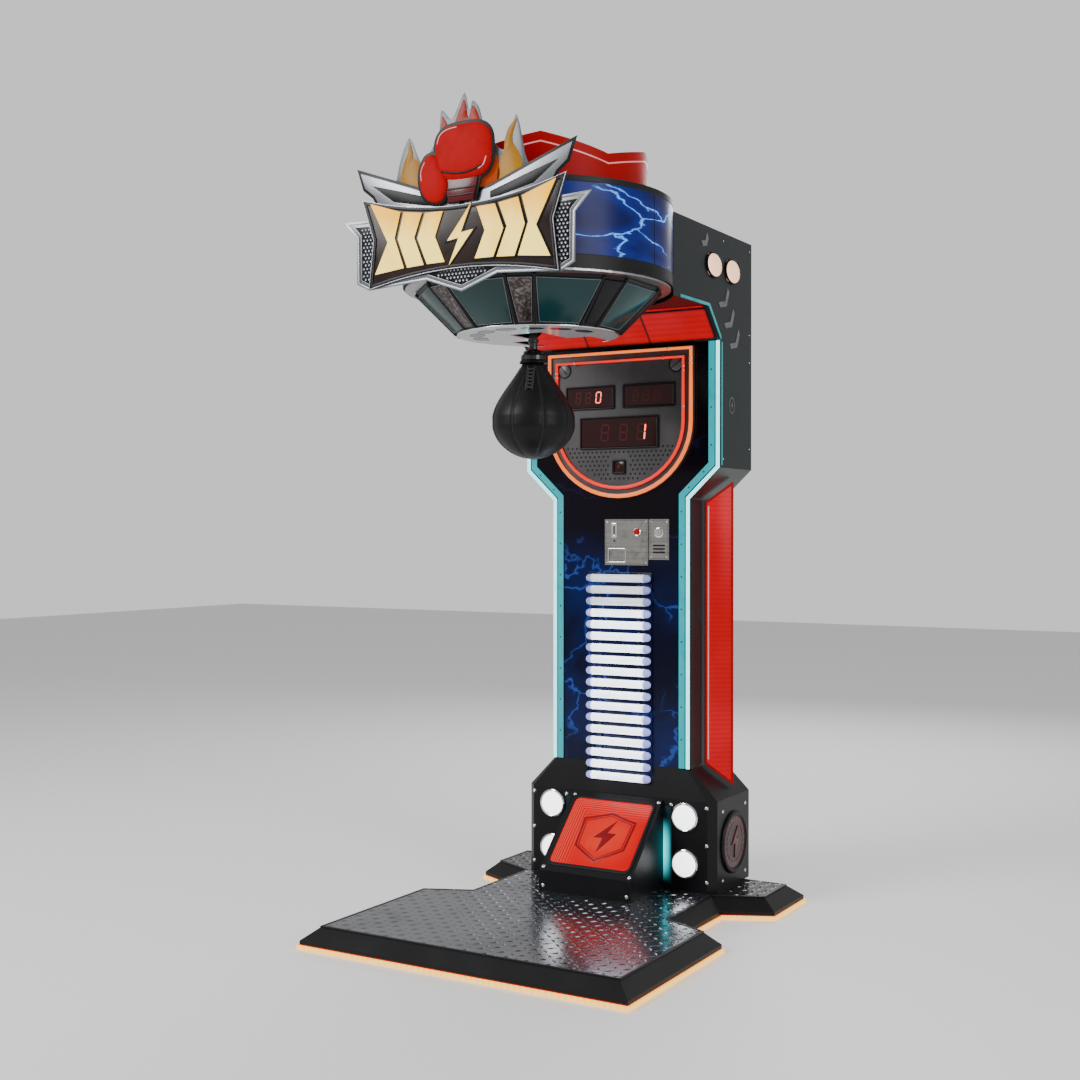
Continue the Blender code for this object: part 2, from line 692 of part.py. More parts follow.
# coin unit
def build_coin_unit():
    thickness = 0.003
    front = COLUMN_FRONT_Y - GAP - thickness
    middle_y = front + thickness / 2
    outline = [
        (COIN_LEFT, COIN_BOTTOM),
        (COIN_RIGHT, COIN_BOTTOM),
        (COIN_RIGHT, COIN_TOP),
        (COIN_LEFT, COIN_TOP),
    ]
    slot = shifted(rounded_box(0.002, 0.015, 0.0018, 2), -0.02, 1.197)
    button_hole = circle(REJECT_RADIUS + 0.0005, (REJECT_X, REJECT_Z), 20)
    flap_room = rounded_box(FLAP_WIDTH / 2 + 0.001, FLAP_HEIGHT / 2 + 0.002, 0.001, 1)
    flap_hole = shifted(flap_room, FLAP_X, FLAP_TOP_Z - FLAP_HEIGHT / 2)
    holes = [outline, slot, button_hole, flap_hole]
    add("coin_plate", plate_mesh("coin_plate", holes, thickness, (0, middle_y, 0), "front"), STAINLESS)

    outline = [
        (LOCK_PLATE_LEFT, LOCK_PLATE_BOTTOM),
        (LOCK_PLATE_RIGHT, LOCK_PLATE_BOTTOM),
        (LOCK_PLATE_RIGHT, COIN_TOP),
        (LOCK_PLATE_LEFT, COIN_TOP),
    ]
    key_hole = circle(LOCK_RADIUS + 0.0005, (LOCK_X, LOCK_Z), 20)
    mesh = plate_mesh("lock_plate", [outline, key_hole], thickness, (0, middle_y, 0), "front")
    add("lock_plate", mesh, STAINLESS)

    place = (LOCK_X, front - 0.004, LOCK_Z)
    end = (LOCK_X, COLUMN_FRONT_Y - 0.0005, LOCK_Z)
    mesh = cylinder_mesh("coin_lock", LOCK_RADIUS, place, end, "Y", 20)
    lock = add("coin_lock", mesh, CHROME, smooth=True)
    low = (LOCK_X - 0.001, front - 0.006, LOCK_Z - 0.006)
    high = (LOCK_X + 0.001, front - 0.001, LOCK_Z + 0.006)
    set_origin(lock, place)
    boolean(lock, cutter("coin_keyway", box_mesh("coin_keyway", low, high)))

    place = (REJECT_X, front - 0.007, REJECT_Z)
    end = (REJECT_X, COLUMN_FRONT_Y + 0.003, REJECT_Z)
    mesh = cylinder_mesh("reject_button", REJECT_RADIUS, place, end, "Y", 20)
    set_origin(add("reject_button", mesh, RED_GLOSS, smooth=True), place)

    half = FLAP_WIDTH / 2
    low = (FLAP_X - half, front + 0.0005, FLAP_TOP_Z - FLAP_HEIGHT)
    high = (FLAP_X + half, front + 0.0025, FLAP_TOP_Z)
    flap = add("return_flap", box_mesh("return_flap", low, high), STAINLESS)
    set_origin(flap, (FLAP_X, front + 0.0015, FLAP_TOP_Z - 0.001))

    rear_face = COLUMN_FRONT_Y + 0.0005
    low = (COIN_LEFT + 0.005, rear_face, COIN_BOTTOM + 0.004)
    high = (COIN_RIGHT - 0.005, COIN_DEPTH, COIN_TOP - 0.005)
    validator = add("coin_validator", box_mesh("coin_validator", low, high), GREY_PLASTIC)
    cup = box_mesh(
        "return_cup",
        (FLAP_X - half - 0.003, rear_face - 0.01, FLAP_TOP_Z - FLAP_HEIGHT - 0.003),
        (FLAP_X + half + 0.003, rear_face + 0.048, FLAP_TOP_Z + 0.004),
    )
    boolean(validator, cutter("return_cup", cup))
    near = (REJECT_X, rear_face - 0.01, REJECT_Z)
    far = (REJECT_X, rear_face + 0.015, REJECT_Z)
    bore = cylinder_mesh("button_bore", REJECT_RADIUS + 0.001, near, far, "Y", 20)
    boolean(validator, cutter("button_bore", bore))


# scoreboard
def shield_outline(step):
    """The board's outline moved inwards by a step: straight sides over a round bottom."""
    half = SHIELD_HALF_WIDTH - step
    drop = SHIELD_BEND_Z - SHIELD_BOTTOM_Z - step
    right = []
    arc = 12
    for k in range(arc + 1):
        angle = math.radians(-90 + 90 * k / arc)
        right.append((half * math.cos(angle), SHIELD_BEND_Z + drop * math.sin(angle)))
    right[0] = (0.0, SHIELD_BEND_Z - drop)
    right.append((half, SHIELD_TOP_Z - step))
    return mirrored(right)


def build_scoreboard():
    rear = COLUMN_FRONT_Y - GAP
    front = rear - SHIELD_THICKNESS
    mesh = plate_mesh("board", [shield_outline(0.0)], SHIELD_THICKNESS, (0, (rear + front) / 2, 0), "front")
    add("scoreboard_plate", mesh, DARK_STEEL)
    for name, step, radius in (
        ("neon_outer", NEON_OUTER_INSET, NEON_OUTER_RADIUS),
        ("neon_inner", NEON_INNER_INSET, NEON_INNER_RADIUS),
    ):
        y = front - GAP - radius
        tube(name, [(x, y, z) for x, z in shield_outline(step)], radius, NEON, cyclic=True)
    windows = {
        "display_left": (-0.190, -0.022, 1.596, 1.662),
        "display_right": (0.020, 0.195, 1.596, 1.662),
        "display_lower": (-0.137, 0.137, 1.466, 1.560),
    }
    for name, (left, right, bottom, top) in windows.items():
        low = (left, front - GAP - 0.004, bottom)
        high = (right, front - GAP, top)
        bevel(add(name, box_mesh(name, low, high), RED_GLOSS), 0.0015)


# rear door and inner electrics
def build_rear():
    inner = COLUMN_REAR_Y + GAP
    outer = inner + WALL
    low = (-DOOR_HALF_WIDTH, inner, DOOR_BOTTOM_Z)
    high = (DOOR_HALF_WIDTH, outer, DOOR_TOP_Z)
    door = add("rear_door", box_mesh("rear_door", low, high), BLACK_PAINT)
    hinge = (-DOOR_HALF_WIDTH - 0.003, outer + 0.001, 0)
    ends = ((hinge[0], hinge[1], DOOR_BOTTOM_Z), (hinge[0], hinge[1], DOOR_TOP_Z))
    barrel = cylinder_mesh("barrel", DOOR_HINGE_RADIUS - 0.001, *ends, segments=12)
    lock_hole = cylinder_mesh(
        "lock_hole", LOCK_RADIUS + 0.0008, (DOOR_LOCK_X, inner - 0.01, DOOR_LOCK_Z),
        (DOOR_LOCK_X, outer + 0.01, DOOR_LOCK_Z), "Y", 20,
    )
    set_origin(door, hinge)
    boolean(door, cutter("door_barrel", barrel), "UNION")
    boolean(door, cutter("door_lock_hole", lock_hole))

    place = (DOOR_LOCK_X, outer + 0.004, DOOR_LOCK_Z)
    back = (DOOR_LOCK_X, inner - 0.012, DOOR_LOCK_Z)
    mesh = cylinder_mesh("door_lock", LOCK_RADIUS, back, place, "Y", 20)
    lock = add("door_lock", mesh, CHROME, smooth=True)
    low = (DOOR_LOCK_X - 0.007, inner - 0.011, DOOR_LOCK_Z - 0.038)
    high = (DOOR_LOCK_X + 0.007, inner - 0.008, DOOR_LOCK_Z)
    set_origin(lock, place)
    boolean(lock, cutter("door_cam", box_mesh("door_cam", low, high)), "UNION")

    low = (-0.15, 0.40, 0.56)
    box = add("control_box", box_mesh("control_box", low, (0.15, 0.54, 0.80)), GREY_PLASTIC)
    bevel(box, 0.004)

    y = PEDESTAL_REAR_Y + GAP
    inlet = box_mesh("power_inlet", (-0.26, y, 0.115), (-0.21, y + 0.005, 0.145))
    socket = box_mesh("socket", (-0.25, y + 0.001, 0.12), (-0.22, y + 0.01, 0.14))
    boolean(add("power_inlet", inlet, GREY_PLASTIC), cutter("inlet_socket", socket))


# head and drum
def head_profile():
    return [
        (HEAD_FRONT_Y, HEAD_UNDERSIDE_Z),
        (HEAD_BEND_Y, HEAD_UNDERSIDE_Z),
        (COLUMN_FRONT_Y, SEAM_Z + GAP),
        (COLUMN_REAR_Y, SEAM_Z + GAP),
        (COLUMN_REAR_Y, HEAD_TOP_Z),
        (HEAD_FRONT_Y, HEAD_TOP_Z),
    ]


def build_head():
    profile = head_profile()
    mesh = plate_mesh("head_shell", [profile], 2 * UPPER_HALF_WIDTH, (0, 0, 0), "side")
    shell = add("head_shell", mesh, BLACK_PAINT)
    inner = inset(profile, WALL)
    below = SEAM_Z - 0.05
    hollow = [
        (HEAD_FRONT_Y - 0.05, inner[0][1]),
        inner[1],
        inner[2],
        (inner[2][0], below),
        (inner[3][0], below),
        inner[4],
        (HEAD_FRONT_Y - 0.05, inner[5][1]),
    ]
    tool = plate_mesh("head_hollow", [hollow], 2 * (UPPER_HALF_WIDTH - WALL), (0, 0, 0), "side")
    boolean(shell, cutter("head_hollow", tool))
    around = cylinder_mesh("drum_room", DRUM_RADIUS + GAP, (0, DRUM_Y, 1.8), (0, DRUM_Y, 2.2), segments=64)
    boolean(shell, cutter("drum_room", around))

    for side, sign in (("left", -1), ("right", 1)):
        name = f"oval_lamps_{side}"
        inside = UPPER_HALF_WIDTH - WALL - GAP
        x_low, x_high = sorted((sign * inside, sign * (inside - 0.01)))
        low = (x_low, OVAL_CENTRES_Y[0] - 0.03, OVAL_Z - 0.012)
        high = (x_high, OVAL_CENTRES_Y[1] + 0.03, OVAL_Z + 0.012)
        lamps = add(name, box_mesh(name, low, high), WHITE_LED, smooth=True)
        for i, y in enumerate(OVAL_CENTRES_Y):
            shape = rounded_box(OVAL_HALF_LENGTH, OVAL_HALF_HEIGHT, OVAL_HALF_HEIGHT - 0.001, 6)
            middle = (sign * (UPPER_HALF_WIDTH - 0.001), y, OVAL_Z)
            lamp = plate_mesh("oval", [shape], 0.012, middle, "side")
            boolean(lamps, cutter(f"{name}_{i}", lamp), "UNION")
            half_sides = (OVAL_HALF_LENGTH + 0.0008, OVAL_HALF_HEIGHT + 0.0008)
            room = rounded_box(*half_sides, OVAL_HALF_HEIGHT - 0.001, 6)
            hole = plate_mesh("oval_hole", [room], 0.02, middle, "side")
            boolean(shell, cutter(f"{name}_hole_{i}", hole))


def build_drum():
    corners = 64
    round_wall = circle(DRUM_RADIUS, (0, DRUM_Y), corners)
    rings = [[(x, y, z) for x, y in round_wall] for z in (DRUM_BOTTOM_Z, DRUM_TOP_Z)]
    solidify(add("drum_shell", loft_mesh("drum_shell", rings, close_top=True), BLUE, smooth=True))

    base = []
    top = []
    for i in range(CROWN_STEPS):
        angle = 2 * math.pi * i / CROWN_STEPS + math.radians(CROWN_TURN)
        wave = abs((i * CROWN_TEETH / CROWN_STEPS) % 1.0 - 0.5) * 2
        x = CROWN_RADIUS * math.cos(angle)
        y = DRUM_Y + CROWN_RADIUS * math.sin(angle)
        base.append((x, y, DRUM_TOP_Z + GAP))
        top.append((x, y, CROWN_TOP_Z - CROWN_DIP * (1 - wave)))
    solidify(add("crown_ring", loft_mesh("crown_ring", [base, top]), RED_GLOSS, smooth=True), 0.004)


def slot_cutters(name, low_z, high_z):
    """The way open for the arm and the ball: narrow at the pivot, wide towards the rear."""
    half = NECK_SLOT_HALF_WIDTH
    narrow = box_mesh(name, (-half, PIVOT_Y - 0.045, low_z), (half, PIVOT_Y + 0.2, high_z))
    half = SLOT_HALF_WIDTH
    wide = box_mesh(name, (-half, PIVOT_Y + SLOT_START, low_z), (half, PIVOT_Y + 0.5, high_z))
    return cutter(f"{name}_narrow", narrow), cutter(f"{name}_wide", wide)


def build_skirt():
    rings = []
    for z, radius in ((SKIRT_BOTTOM_Z, SKIRT_BOTTOM_RADIUS), (SKIRT_TOP_Z, SKIRT_TOP_RADIUS)):
        turns = [math.pi * (2 * i + 1) / SKIRT_FACETS for i in range(SKIRT_FACETS)]
        rings.append([(radius * math.cos(a), DRUM_Y + radius * math.sin(a), z) for a in turns])
    skirt = solidify(add("skirt_ring", loft_mesh("skirt_ring", rings), TEAL))
    for tool in slot_cutters("skirt_slot", SKIRT_BOTTOM_Z - 0.05, SKIRT_TOP_Z + 0.05):
        boolean(skirt, tool)

    z = SKIRT_BOTTOM_Z - GAP - 0.0015
    edge = circle(SKIRT_BOTTOM_RADIUS - 0.002, (0, DRUM_Y), 48)
    mesh = plate_mesh("skirt_disc", [edge], 0.003, (0, 0, z))
    disc = add("skirt_disc", mesh, SILVER)
    for tool in slot_cutters("disc_slot", z - 0.01, z + 0.01):
        boolean(disc, tool)


# swinging ball
def build_hanger():
    middle = (0, 0, HANGER_TOP_Z - HANGER_THICKNESS / 2)
    outlines = [circle(HANGER_RADIUS, (0, DRUM_Y), 64)]
    for y in WIRING_HOLES_Y:
        outlines.append(shifted(rounded_box(0.2, 0.075, 0.02), 0, y))
    disc = plate_mesh("pivot_bracket", outlines, HANGER_THICKNESS, middle)
    bracket = add("pivot_bracket", disc, DARK_STEEL)
    ear_bottom = PIVOT_Z - 0.03
    for side, sign in (("left", -1), ("right", 1)):
        x_low, x_high = sorted((sign * EAR_X, sign * (EAR_X + EAR_THICKNESS)))
        high = (x_high, PIVOT_Y + 0.03, HANGER_TOP_Z - 0.002)
        ear = box_mesh("ear", (x_low, PIVOT_Y - 0.03, ear_bottom), high)
        boolean(bracket, cutter(f"ear_{side}", ear), "UNION")
        ends = ((x_low - 0.002, PIVOT_Y, PIVOT_Z), (x_high + 0.002, PIVOT_Y, PIVOT_Z))
        seat = cylinder_mesh("seat", BEARING_RADIUS + GAP, *ends, "X", 24)
        boolean(bracket, cutter(f"bearing_seat_{side}", seat))
        faces = ((x_low, PIVOT_Y, PIVOT_Z), (x_high, PIVOT_Y, PIVOT_Z))
        body = cylinder_mesh("body", BEARING_RADIUS, *faces, "X", 24)
        bearing = add(f"pivot_bearing_{side}", body, CHROME, smooth=True)
        bore = cylinder_mesh("bore", BEARING_BORE + 0.0002, *ends, "X", 24)
        boolean(bearing, cutter(f"bearing_bore_{side}", bore))


def build_swing():
    pivot = (0, PIVOT_Y, PIVOT_Z)
    reach = EAR_X + EAR_THICKNESS + 0.006
    ends = ((-reach, PIVOT_Y, PIVOT_Z), (reach, PIVOT_Y, PIVOT_Z))
    axle = cylinder_mesh("pivot_axle", AXLE_RADIUS, *ends, "X", 24)
    set_origin(add("pivot_axle", axle, CHROME, smooth=True), pivot)

    profile = [
        (0.0, PIVOT_Z - 0.008),
        (ARM_RADIUS, PIVOT_Z - 0.008),
        (ARM_RADIUS, BALL_TOP_Z + 0.032),
        (COLLAR_RADIUS * 0.6, BALL_TOP_Z + 0.028),
        (COLLAR_RADIUS, BALL_TOP_Z + 0.012),
        (COLLAR_RADIUS, BALL_TOP_Z + GAP),
        (0.0, BALL_TOP_Z + GAP),
    ]
    arm = add("swing_arm", turned_mesh("swing_arm", profile, 24), DARK_STEEL, smooth=True)
    arm.location = (0, PIVOT_Y, 0)
    half = HUB_LENGTH / 2
    hub = cylinder_mesh("hub", HUB_RADIUS, (-half, PIVOT_Y, PIVOT_Z), (half, PIVOT_Y, PIVOT_Z), "X", 24)
    ends = ((-half - 0.01, PIVOT_Y, PIVOT_Z), (half + 0.01, PIVOT_Y, PIVOT_Z))
    bore = cylinder_mesh("hub_bore", AXLE_RADIUS + GAP, *ends, "X", 24)
    bpy.context.view_layer.update()
    arm.data.transform(arm.matrix_world)
    set_origin(arm, pivot)
    boolean(arm, cutter("arm_hub", hub), "UNION")
    boolean(arm, cutter("arm_bore", bore))

    length = BALL_TOP_Z - BALL_BOTTOM_Z
    profile = [(0.0, BALL_TOP_Z)]
    steps = 14
    for k in range(1, steps):
        t = k / steps
        bulge = math.sin(math.pi * t ** 1.35) ** 0.62
        neck = 0.028 * (1 - t) ** 3
        profile.append((min(BALL_RADIUS, BALL_RADIUS * bulge + neck), BALL_TOP_Z - length * t))
    profile.append((0.0, BALL_BOTTOM_Z))
    ball = add("punch_ball", turned_mesh("punch_ball", profile, 28), LEATHER, smooth=True)
    ball.location = (0, PIVOT_Y, 0)
    bpy.context.view_layer.update()
    ball.data.transform(ball.matrix_world)
    set_origin(ball, pivot)

    low = (-0.1, STOP_Y - 0.045, 1.853)
    high = (0.1, STOP_Y + 0.055, HEAD_UNDERSIDE_Z - GAP)
    bevel(add("stop_pad", box_mesh("stop_pad", low, high), RUBBER), 0.006, 2)


def build_latch():
    """A hook beside the raised arm, drawn across it by a solenoid."""
    y = PIVOT_Y + 0.1
    pivot = (0.062, y, 1.876)
    outline = [
        (0.040, 1.772),
        (0.068, 1.772),
        (0.068, 1.887),
        (0.056, 1.887),
        (0.056, 1.784),
        (0.040, 1.784),
    ]
    hook = add("latch_hook", plate_mesh("latch_hook", [outline], 0.008, (0, y, 0), "front"), CHROME)
    set_origin(hook, pivot)

    coil = cylinder_mesh("solenoid_body", 0.016, (0.105, y, 1.845), (0.155, y, 1.845), "X", 20)
    body = add("solenoid_body", coil, GREY_PLASTIC, smooth=True)
    strap_top = HANGER_TOP_Z - HANGER_THICKNESS - GAP
    strap = box_mesh("coil_strap", (0.11, y - 0.012, 1.85), (0.15, y + 0.012, strap_top))
    bore = cylinder_mesh("coil_bore", 0.0066, (0.10, y, 1.845), (0.15, y, 1.845), "X", 16)
    boolean(body, cutter("coil_strap", strap), "UNION")
    boolean(body, cutter("coil_bore", bore))
    rod = cylinder_mesh("solenoid_plunger", 0.006, (0.0695, y, 1.845), (0.125, y, 1.845), "X", 16)
    set_origin(add("solenoid_plunger", rod, CHROME, smooth=True), (0.0695, y, 1.845))


# sign
def build_sign():
    """Flat layers bolted to the front of the drum, each in front of the one before."""
    flames = [
        (-0.20, 2.11),
        (0.20, 2.11),
        (0.195, 2.19),
        (0.169, 2.295),
        (0.13, 2.205),
        (0.075, 2.26),
        (0.052, 2.33),
        (0.031, 2.351),
        (0.02, 2.325),
        (0.005, 2.376),
        (-0.035, 2.31),
        (-0.07, 2.339),
        (-0.08, 2.27),
        (-0.135, 2.205),
        (-0.177, 2.279),
        (-0.215, 2.19),
    ]
    wings = mirrored(
        [
            (0.0, 2.03),
            (0.26, 2.06),
            (0.300, 2.125),
            (0.333, 2.150),
            (0.355, 2.2126),
            (0.22, 2.165),
            (0.0926, 2.120),
            (0.0, 2.10),
        ]
    )
    shield = mirrored(
        [
            (0.0, 1.84),
            (0.115, 1.88),
            (0.31, 1.868),
            (0.351, 1.888),
            (0.352, 2.0175),
            (0.4005, 2.067),
            (0.30, 2.062),
            (0.18, 2.09),
            (0.0, 2.07),
        ]
    )
    arch = 8
    lower = [(0.307 * k / arch, 1.9026 - 0.0356 * (k / arch) ** 2) for k in range(arch + 1)]
    upper = [(0.33 * k / arch, 2.0727 + 0.0493 * (k / arch) ** 2) for k in range(arch, -1, -1)]
    banner = mirrored(lower + [(0.29, 2.005)] + upper)
    y = SIGN_Y - GAP
    for name, outline, thickness, colour in (
        ("sign_flames", flames, LAYER, FLAME),
        ("sign_wings", wings, LAYER, SILVER),
        ("sign_backplate", shield, LAYER, SILVER),
        ("sign_banner", banner, 0.006, WARM_LED),
    ):
        middle = (0, y - thickness / 2, 0)
        bevelled = add(name, plate_mesh(name, [outline], thickness, middle, "front"), colour)
        if name == "sign_banner":
            bevel(bevelled, 0.0015)
        y -= thickness + GAP

    glove = [
        (-0.11, 2.088),
        (0.07, 2.092),
        (0.08, 2.12),
        (0.112, 2.14),
        (0.115, 2.22),
        (0.10, 2.275),
        (0.06, 2.298),
        (-0.03, 2.298),
        (-0.085, 2.28),
        (-0.11, 2.235),
        (-0.138, 2.20),
        (-0.142, 2.15),
    ]
    front = y + 0.006 + GAP
    mesh = plate_mesh("sign_glove", [glove], 0.022, (0, front - 0.011, 0), "front")
    bevel(add("sign_glove", mesh, RED_GLOSS), 0.006, 2)


build_platform()
build_pedestal()
build_wedge()
build_column()
build_light_tubes()
build_coin_unit()
build_scoreboard()
build_rear()
build_head()
build_drum()
build_skirt()
build_hanger()
build_swing()
build_latch()
build_sign()
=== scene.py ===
import math

import bmesh
import bpy
from mathutils import Matrix, Quaternion, Vector


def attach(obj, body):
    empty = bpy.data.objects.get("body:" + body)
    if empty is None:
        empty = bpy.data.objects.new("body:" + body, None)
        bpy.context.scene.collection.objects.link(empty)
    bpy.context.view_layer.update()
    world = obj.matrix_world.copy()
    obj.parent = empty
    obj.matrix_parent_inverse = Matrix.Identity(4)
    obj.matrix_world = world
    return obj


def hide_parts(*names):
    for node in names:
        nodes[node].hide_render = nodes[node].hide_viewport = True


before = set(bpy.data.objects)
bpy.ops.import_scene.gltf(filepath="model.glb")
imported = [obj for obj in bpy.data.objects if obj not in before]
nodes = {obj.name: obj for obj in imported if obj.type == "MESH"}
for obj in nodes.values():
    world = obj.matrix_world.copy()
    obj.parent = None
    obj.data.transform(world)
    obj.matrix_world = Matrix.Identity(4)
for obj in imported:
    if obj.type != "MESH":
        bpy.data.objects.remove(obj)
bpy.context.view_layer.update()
print("frame loaded:", len(nodes), "nodes")


# camera, light and floor come first
view = {"place": (2.191, -3.846, 1.2), "turn": 30.706, "pitch": -0.4185, "lens": 48.67}
studio = {
    "world": 0.55,
    "backdrop": 0.85,
    "aim": (0, 0, 1.1),
    "floorColour": (0.92, 0.92, 0.92, 1),
    "floorHalf": 14,
    "floorDrop": 0.0005,
    "lamps": {
        "key": {"place": (-2.8, -4.0, 4.0), "size": 2.6, "power": 220},
        "fill": {"place": (4.4, -1.4, 2.8), "size": 2.4, "power": 90},
        "rear": {"place": (-0.8, 4.4, 3.4), "size": 2.6, "power": 110},
    },
}


def meshObject(name, bm, linked=True):
    mesh = bpy.data.meshes.new(name)
    bm.to_mesh(mesh)
    bm.free()
    obj = bpy.data.objects.new(name, mesh)
    if linked:
        bpy.context.scene.collection.objects.link(obj)
    return obj


def addCamera():
    camera = bpy.data.objects.new("camera", bpy.data.cameras.new("camera"))
    camera.data.lens = view["lens"]
    camera.data.sensor_width = 36
    camera.location = view["place"]
    camera.rotation_euler = (math.radians(90 + view["pitch"]), 0, math.radians(view["turn"]))
    bpy.context.scene.collection.objects.link(camera)
    bpy.context.scene.camera = camera


def addLamp(name, place, size, power):
    light = bpy.data.lights.new(name, "AREA")
    light.shape = "DISK"
    light.size = size
    light.energy = power
    lamp = bpy.data.objects.new(name, light)
    lamp.location = place
    lamp.rotation_euler = (Vector(studio["aim"]) - Vector(place)).to_track_quat("-Z", "Y").to_euler()
    bpy.context.scene.collection.objects.link(lamp)


def addStudio():
    world = bpy.data.worlds.new("studio")
    world.use_nodes = True
    background = world.node_tree.nodes["Background"]
    background.inputs["Color"].default_value = (1, 1, 1, 1)
    rays = world.node_tree.nodes.new("ShaderNodeLightPath")
    strength = world.node_tree.nodes.new("ShaderNodeMapRange")
    strength.inputs["To Min"].default_value = studio["world"]
    strength.inputs["To Max"].default_value = studio["backdrop"]
    world.node_tree.links.new(rays.outputs["Is Camera Ray"], strength.inputs["Value"])
    world.node_tree.links.new(strength.outputs["Result"], background.inputs["Strength"])
    bpy.context.scene.world = world
    for name, settings in studio["lamps"].items():
        addLamp(name, **settings)
    bm = bmesh.new()
    bmesh.ops.create_grid(bm, x_segments=1, y_segments=1, size=studio["floorHalf"])
    floor = meshObject("floor", bm)
    floor.location.z = -studio["floorDrop"]
    pale = bpy.data.materials.new("paleFloor")
    pale.use_nodes = True
    shader = pale.node_tree.nodes["Principled BSDF"]
    shader.inputs["Base Color"].default_value = studio["floorColour"]
    shader.inputs["Roughness"].default_value = 0.6
    floor.data.materials.append(pale)


addCamera()
addStudio()
print("camera and studio in place")


# shader helpers
def wire(tree, value, socket):
    if isinstance(value, bpy.types.NodeSocket):
        tree.links.new(value, socket)
    else:
        socket.default_value = value


def sums(tree, operation, first, second=0.0, clamp=False):
    node = tree.nodes.new("ShaderNodeMath")
    node.operation = operation
    node.use_clamp = clamp
    wire(tree, first, node.inputs[0])
    wire(tree, second, node.inputs[1])
    return node.outputs[0]


def ramped(tree, value, low, high, toLow=0.0, toHigh=1.0):
    node = tree.nodes.new("ShaderNodeMapRange")
    node.interpolation_type = "SMOOTHSTEP"
    for socket, setting in zip(node.inputs, (value, low, high, toLow, toHigh)):
        wire(tree, setting, socket)
    return node.outputs[0]


def blended(tree, mask, first, second):
    node = tree.nodes.new("ShaderNodeMix")
    node.data_type = "RGBA"
    wire(tree, mask, node.inputs["Factor"])
    wire(tree, first, node.inputs["A"])
    wire(tree, second, node.inputs["B"])
    return node.outputs["Result"]


def noised(tree, vector, scale, detail=2.0, distortion=0.0):
    node = tree.nodes.new("ShaderNodeTexNoise")
    tree.links.new(vector, node.inputs["Vector"])
    wire(tree, scale, node.inputs["Scale"])
    node.inputs["Detail"].default_value = detail
    node.inputs["Distortion"].default_value = distortion
    return node.outputs["Fac"]


def objectPlace(tree):
    return tree.nodes.new("ShaderNodeTexCoord").outputs["Object"]


def splitAxes(tree, vector):
    node = tree.nodes.new("ShaderNodeSeparateXYZ")
    tree.links.new(vector, node.inputs[0])
    return node.outputs


def mapped(tree, vector, scale=(1, 1, 1), turn=(0, 0, 0), place=(0, 0, 0)):
    node = tree.nodes.new("ShaderNodeMapping")
    tree.links.new(vector, node.inputs["Vector"])
    wire(tree, scale, node.inputs["Scale"])
    node.inputs["Rotation"].default_value = turn
    node.inputs["Location"].default_value = place
    return node.outputs["Vector"]


def newGroup(name, inputs, outputs):
    tree = bpy.data.node_groups.new(name, "ShaderNodeTree")
    kinds = {"colour": "NodeSocketColor", "number": "NodeSocketFloat", "vector": "NodeSocketVector"}
    for label, kind, value in inputs:
        tree.interface.new_socket(label, in_out="INPUT", socket_type=kinds[kind]).default_value = value
    for label, kind in outputs:
        tree.interface.new_socket(label, in_out="OUTPUT", socket_type=kinds[kind])
    return tree, tree.nodes.new("NodeGroupInput").outputs, tree.nodes.new("NodeGroupOutput").inputs


def surfaceGroup():
    tree, given, out = newGroup(
        "surfaceVariation",
        (
            ("Colour", "colour", (0.5, 0.5, 0.5, 1)),
            ("Worn Colour", "colour", (0.4, 0.4, 0.4, 1)),
            ("Scale", "number", 6.0),
            ("Amount", "number", 0.3),
            ("Roughness", "number", 0.4),
            ("Spread", "number", 0.15),
            ("Grain", "number", 240.0),
        ),
        (("Colour", "colour"), ("Roughness", "number"), ("Height", "number")),
    )
    place = objectPlace(tree)
    broad = noised(tree, place, given["Scale"], 5.0, 0.4)
    fine = noised(tree, place, given["Grain"], 2.0)
    mask = sums(tree, "MULTIPLY", ramped(tree, broad, 0.42, 0.75), given["Amount"])
    tree.links.new(blended(tree, mask, given["Colour"], given["Worn Colour"]), out["Colour"])
    swing = sums(tree, "MULTIPLY", sums(tree, "SUBTRACT", broad, 0.5), given["Spread"])
    speckle = sums(tree, "MULTIPLY", sums(tree, "SUBTRACT", fine, 0.5), 0.06)
    rough = sums(tree, "ADD", sums(tree, "ADD", given["Roughness"], swing), speckle, clamp=True)
    tree.links.new(rough, out["Roughness"])
    tree.links.new(fine, out["Height"])
    return tree


def brushedGroup():
    tree, given, out = newGroup(
        "brushedGrain",
        (
            ("Stretch", "vector", (3.0, 3.0, 260.0)),
            ("Colour", "colour", (0.6, 0.6, 0.6, 1)),
            ("Roughness", "number", 0.3),
        ),
        (("Colour", "colour"), ("Roughness", "number"), ("Height", "number")),
    )
    lines = noised(tree, mapped(tree, objectPlace(tree), given["Stretch"]), 1.0, 3.0)
    marks = noised(tree, objectPlace(tree), 34.0, 4.0, 0.8)
    shade = blended(tree, ramped(tree, marks, 0.5, 0.72, 0.0, 0.45), given["Colour"], (0.12, 0.11, 0.10, 1))
    tree.links.new(shade, out["Colour"])
    rough = sums(
        tree, "ADD", given["Roughness"], sums(tree, "MULTIPLY", sums(tree, "SUBTRACT", lines, 0.5), 0.3),
    )
    tree.links.new(rough, out["Roughness"])
    tree.links.new(lines, out["Height"])
    return tree


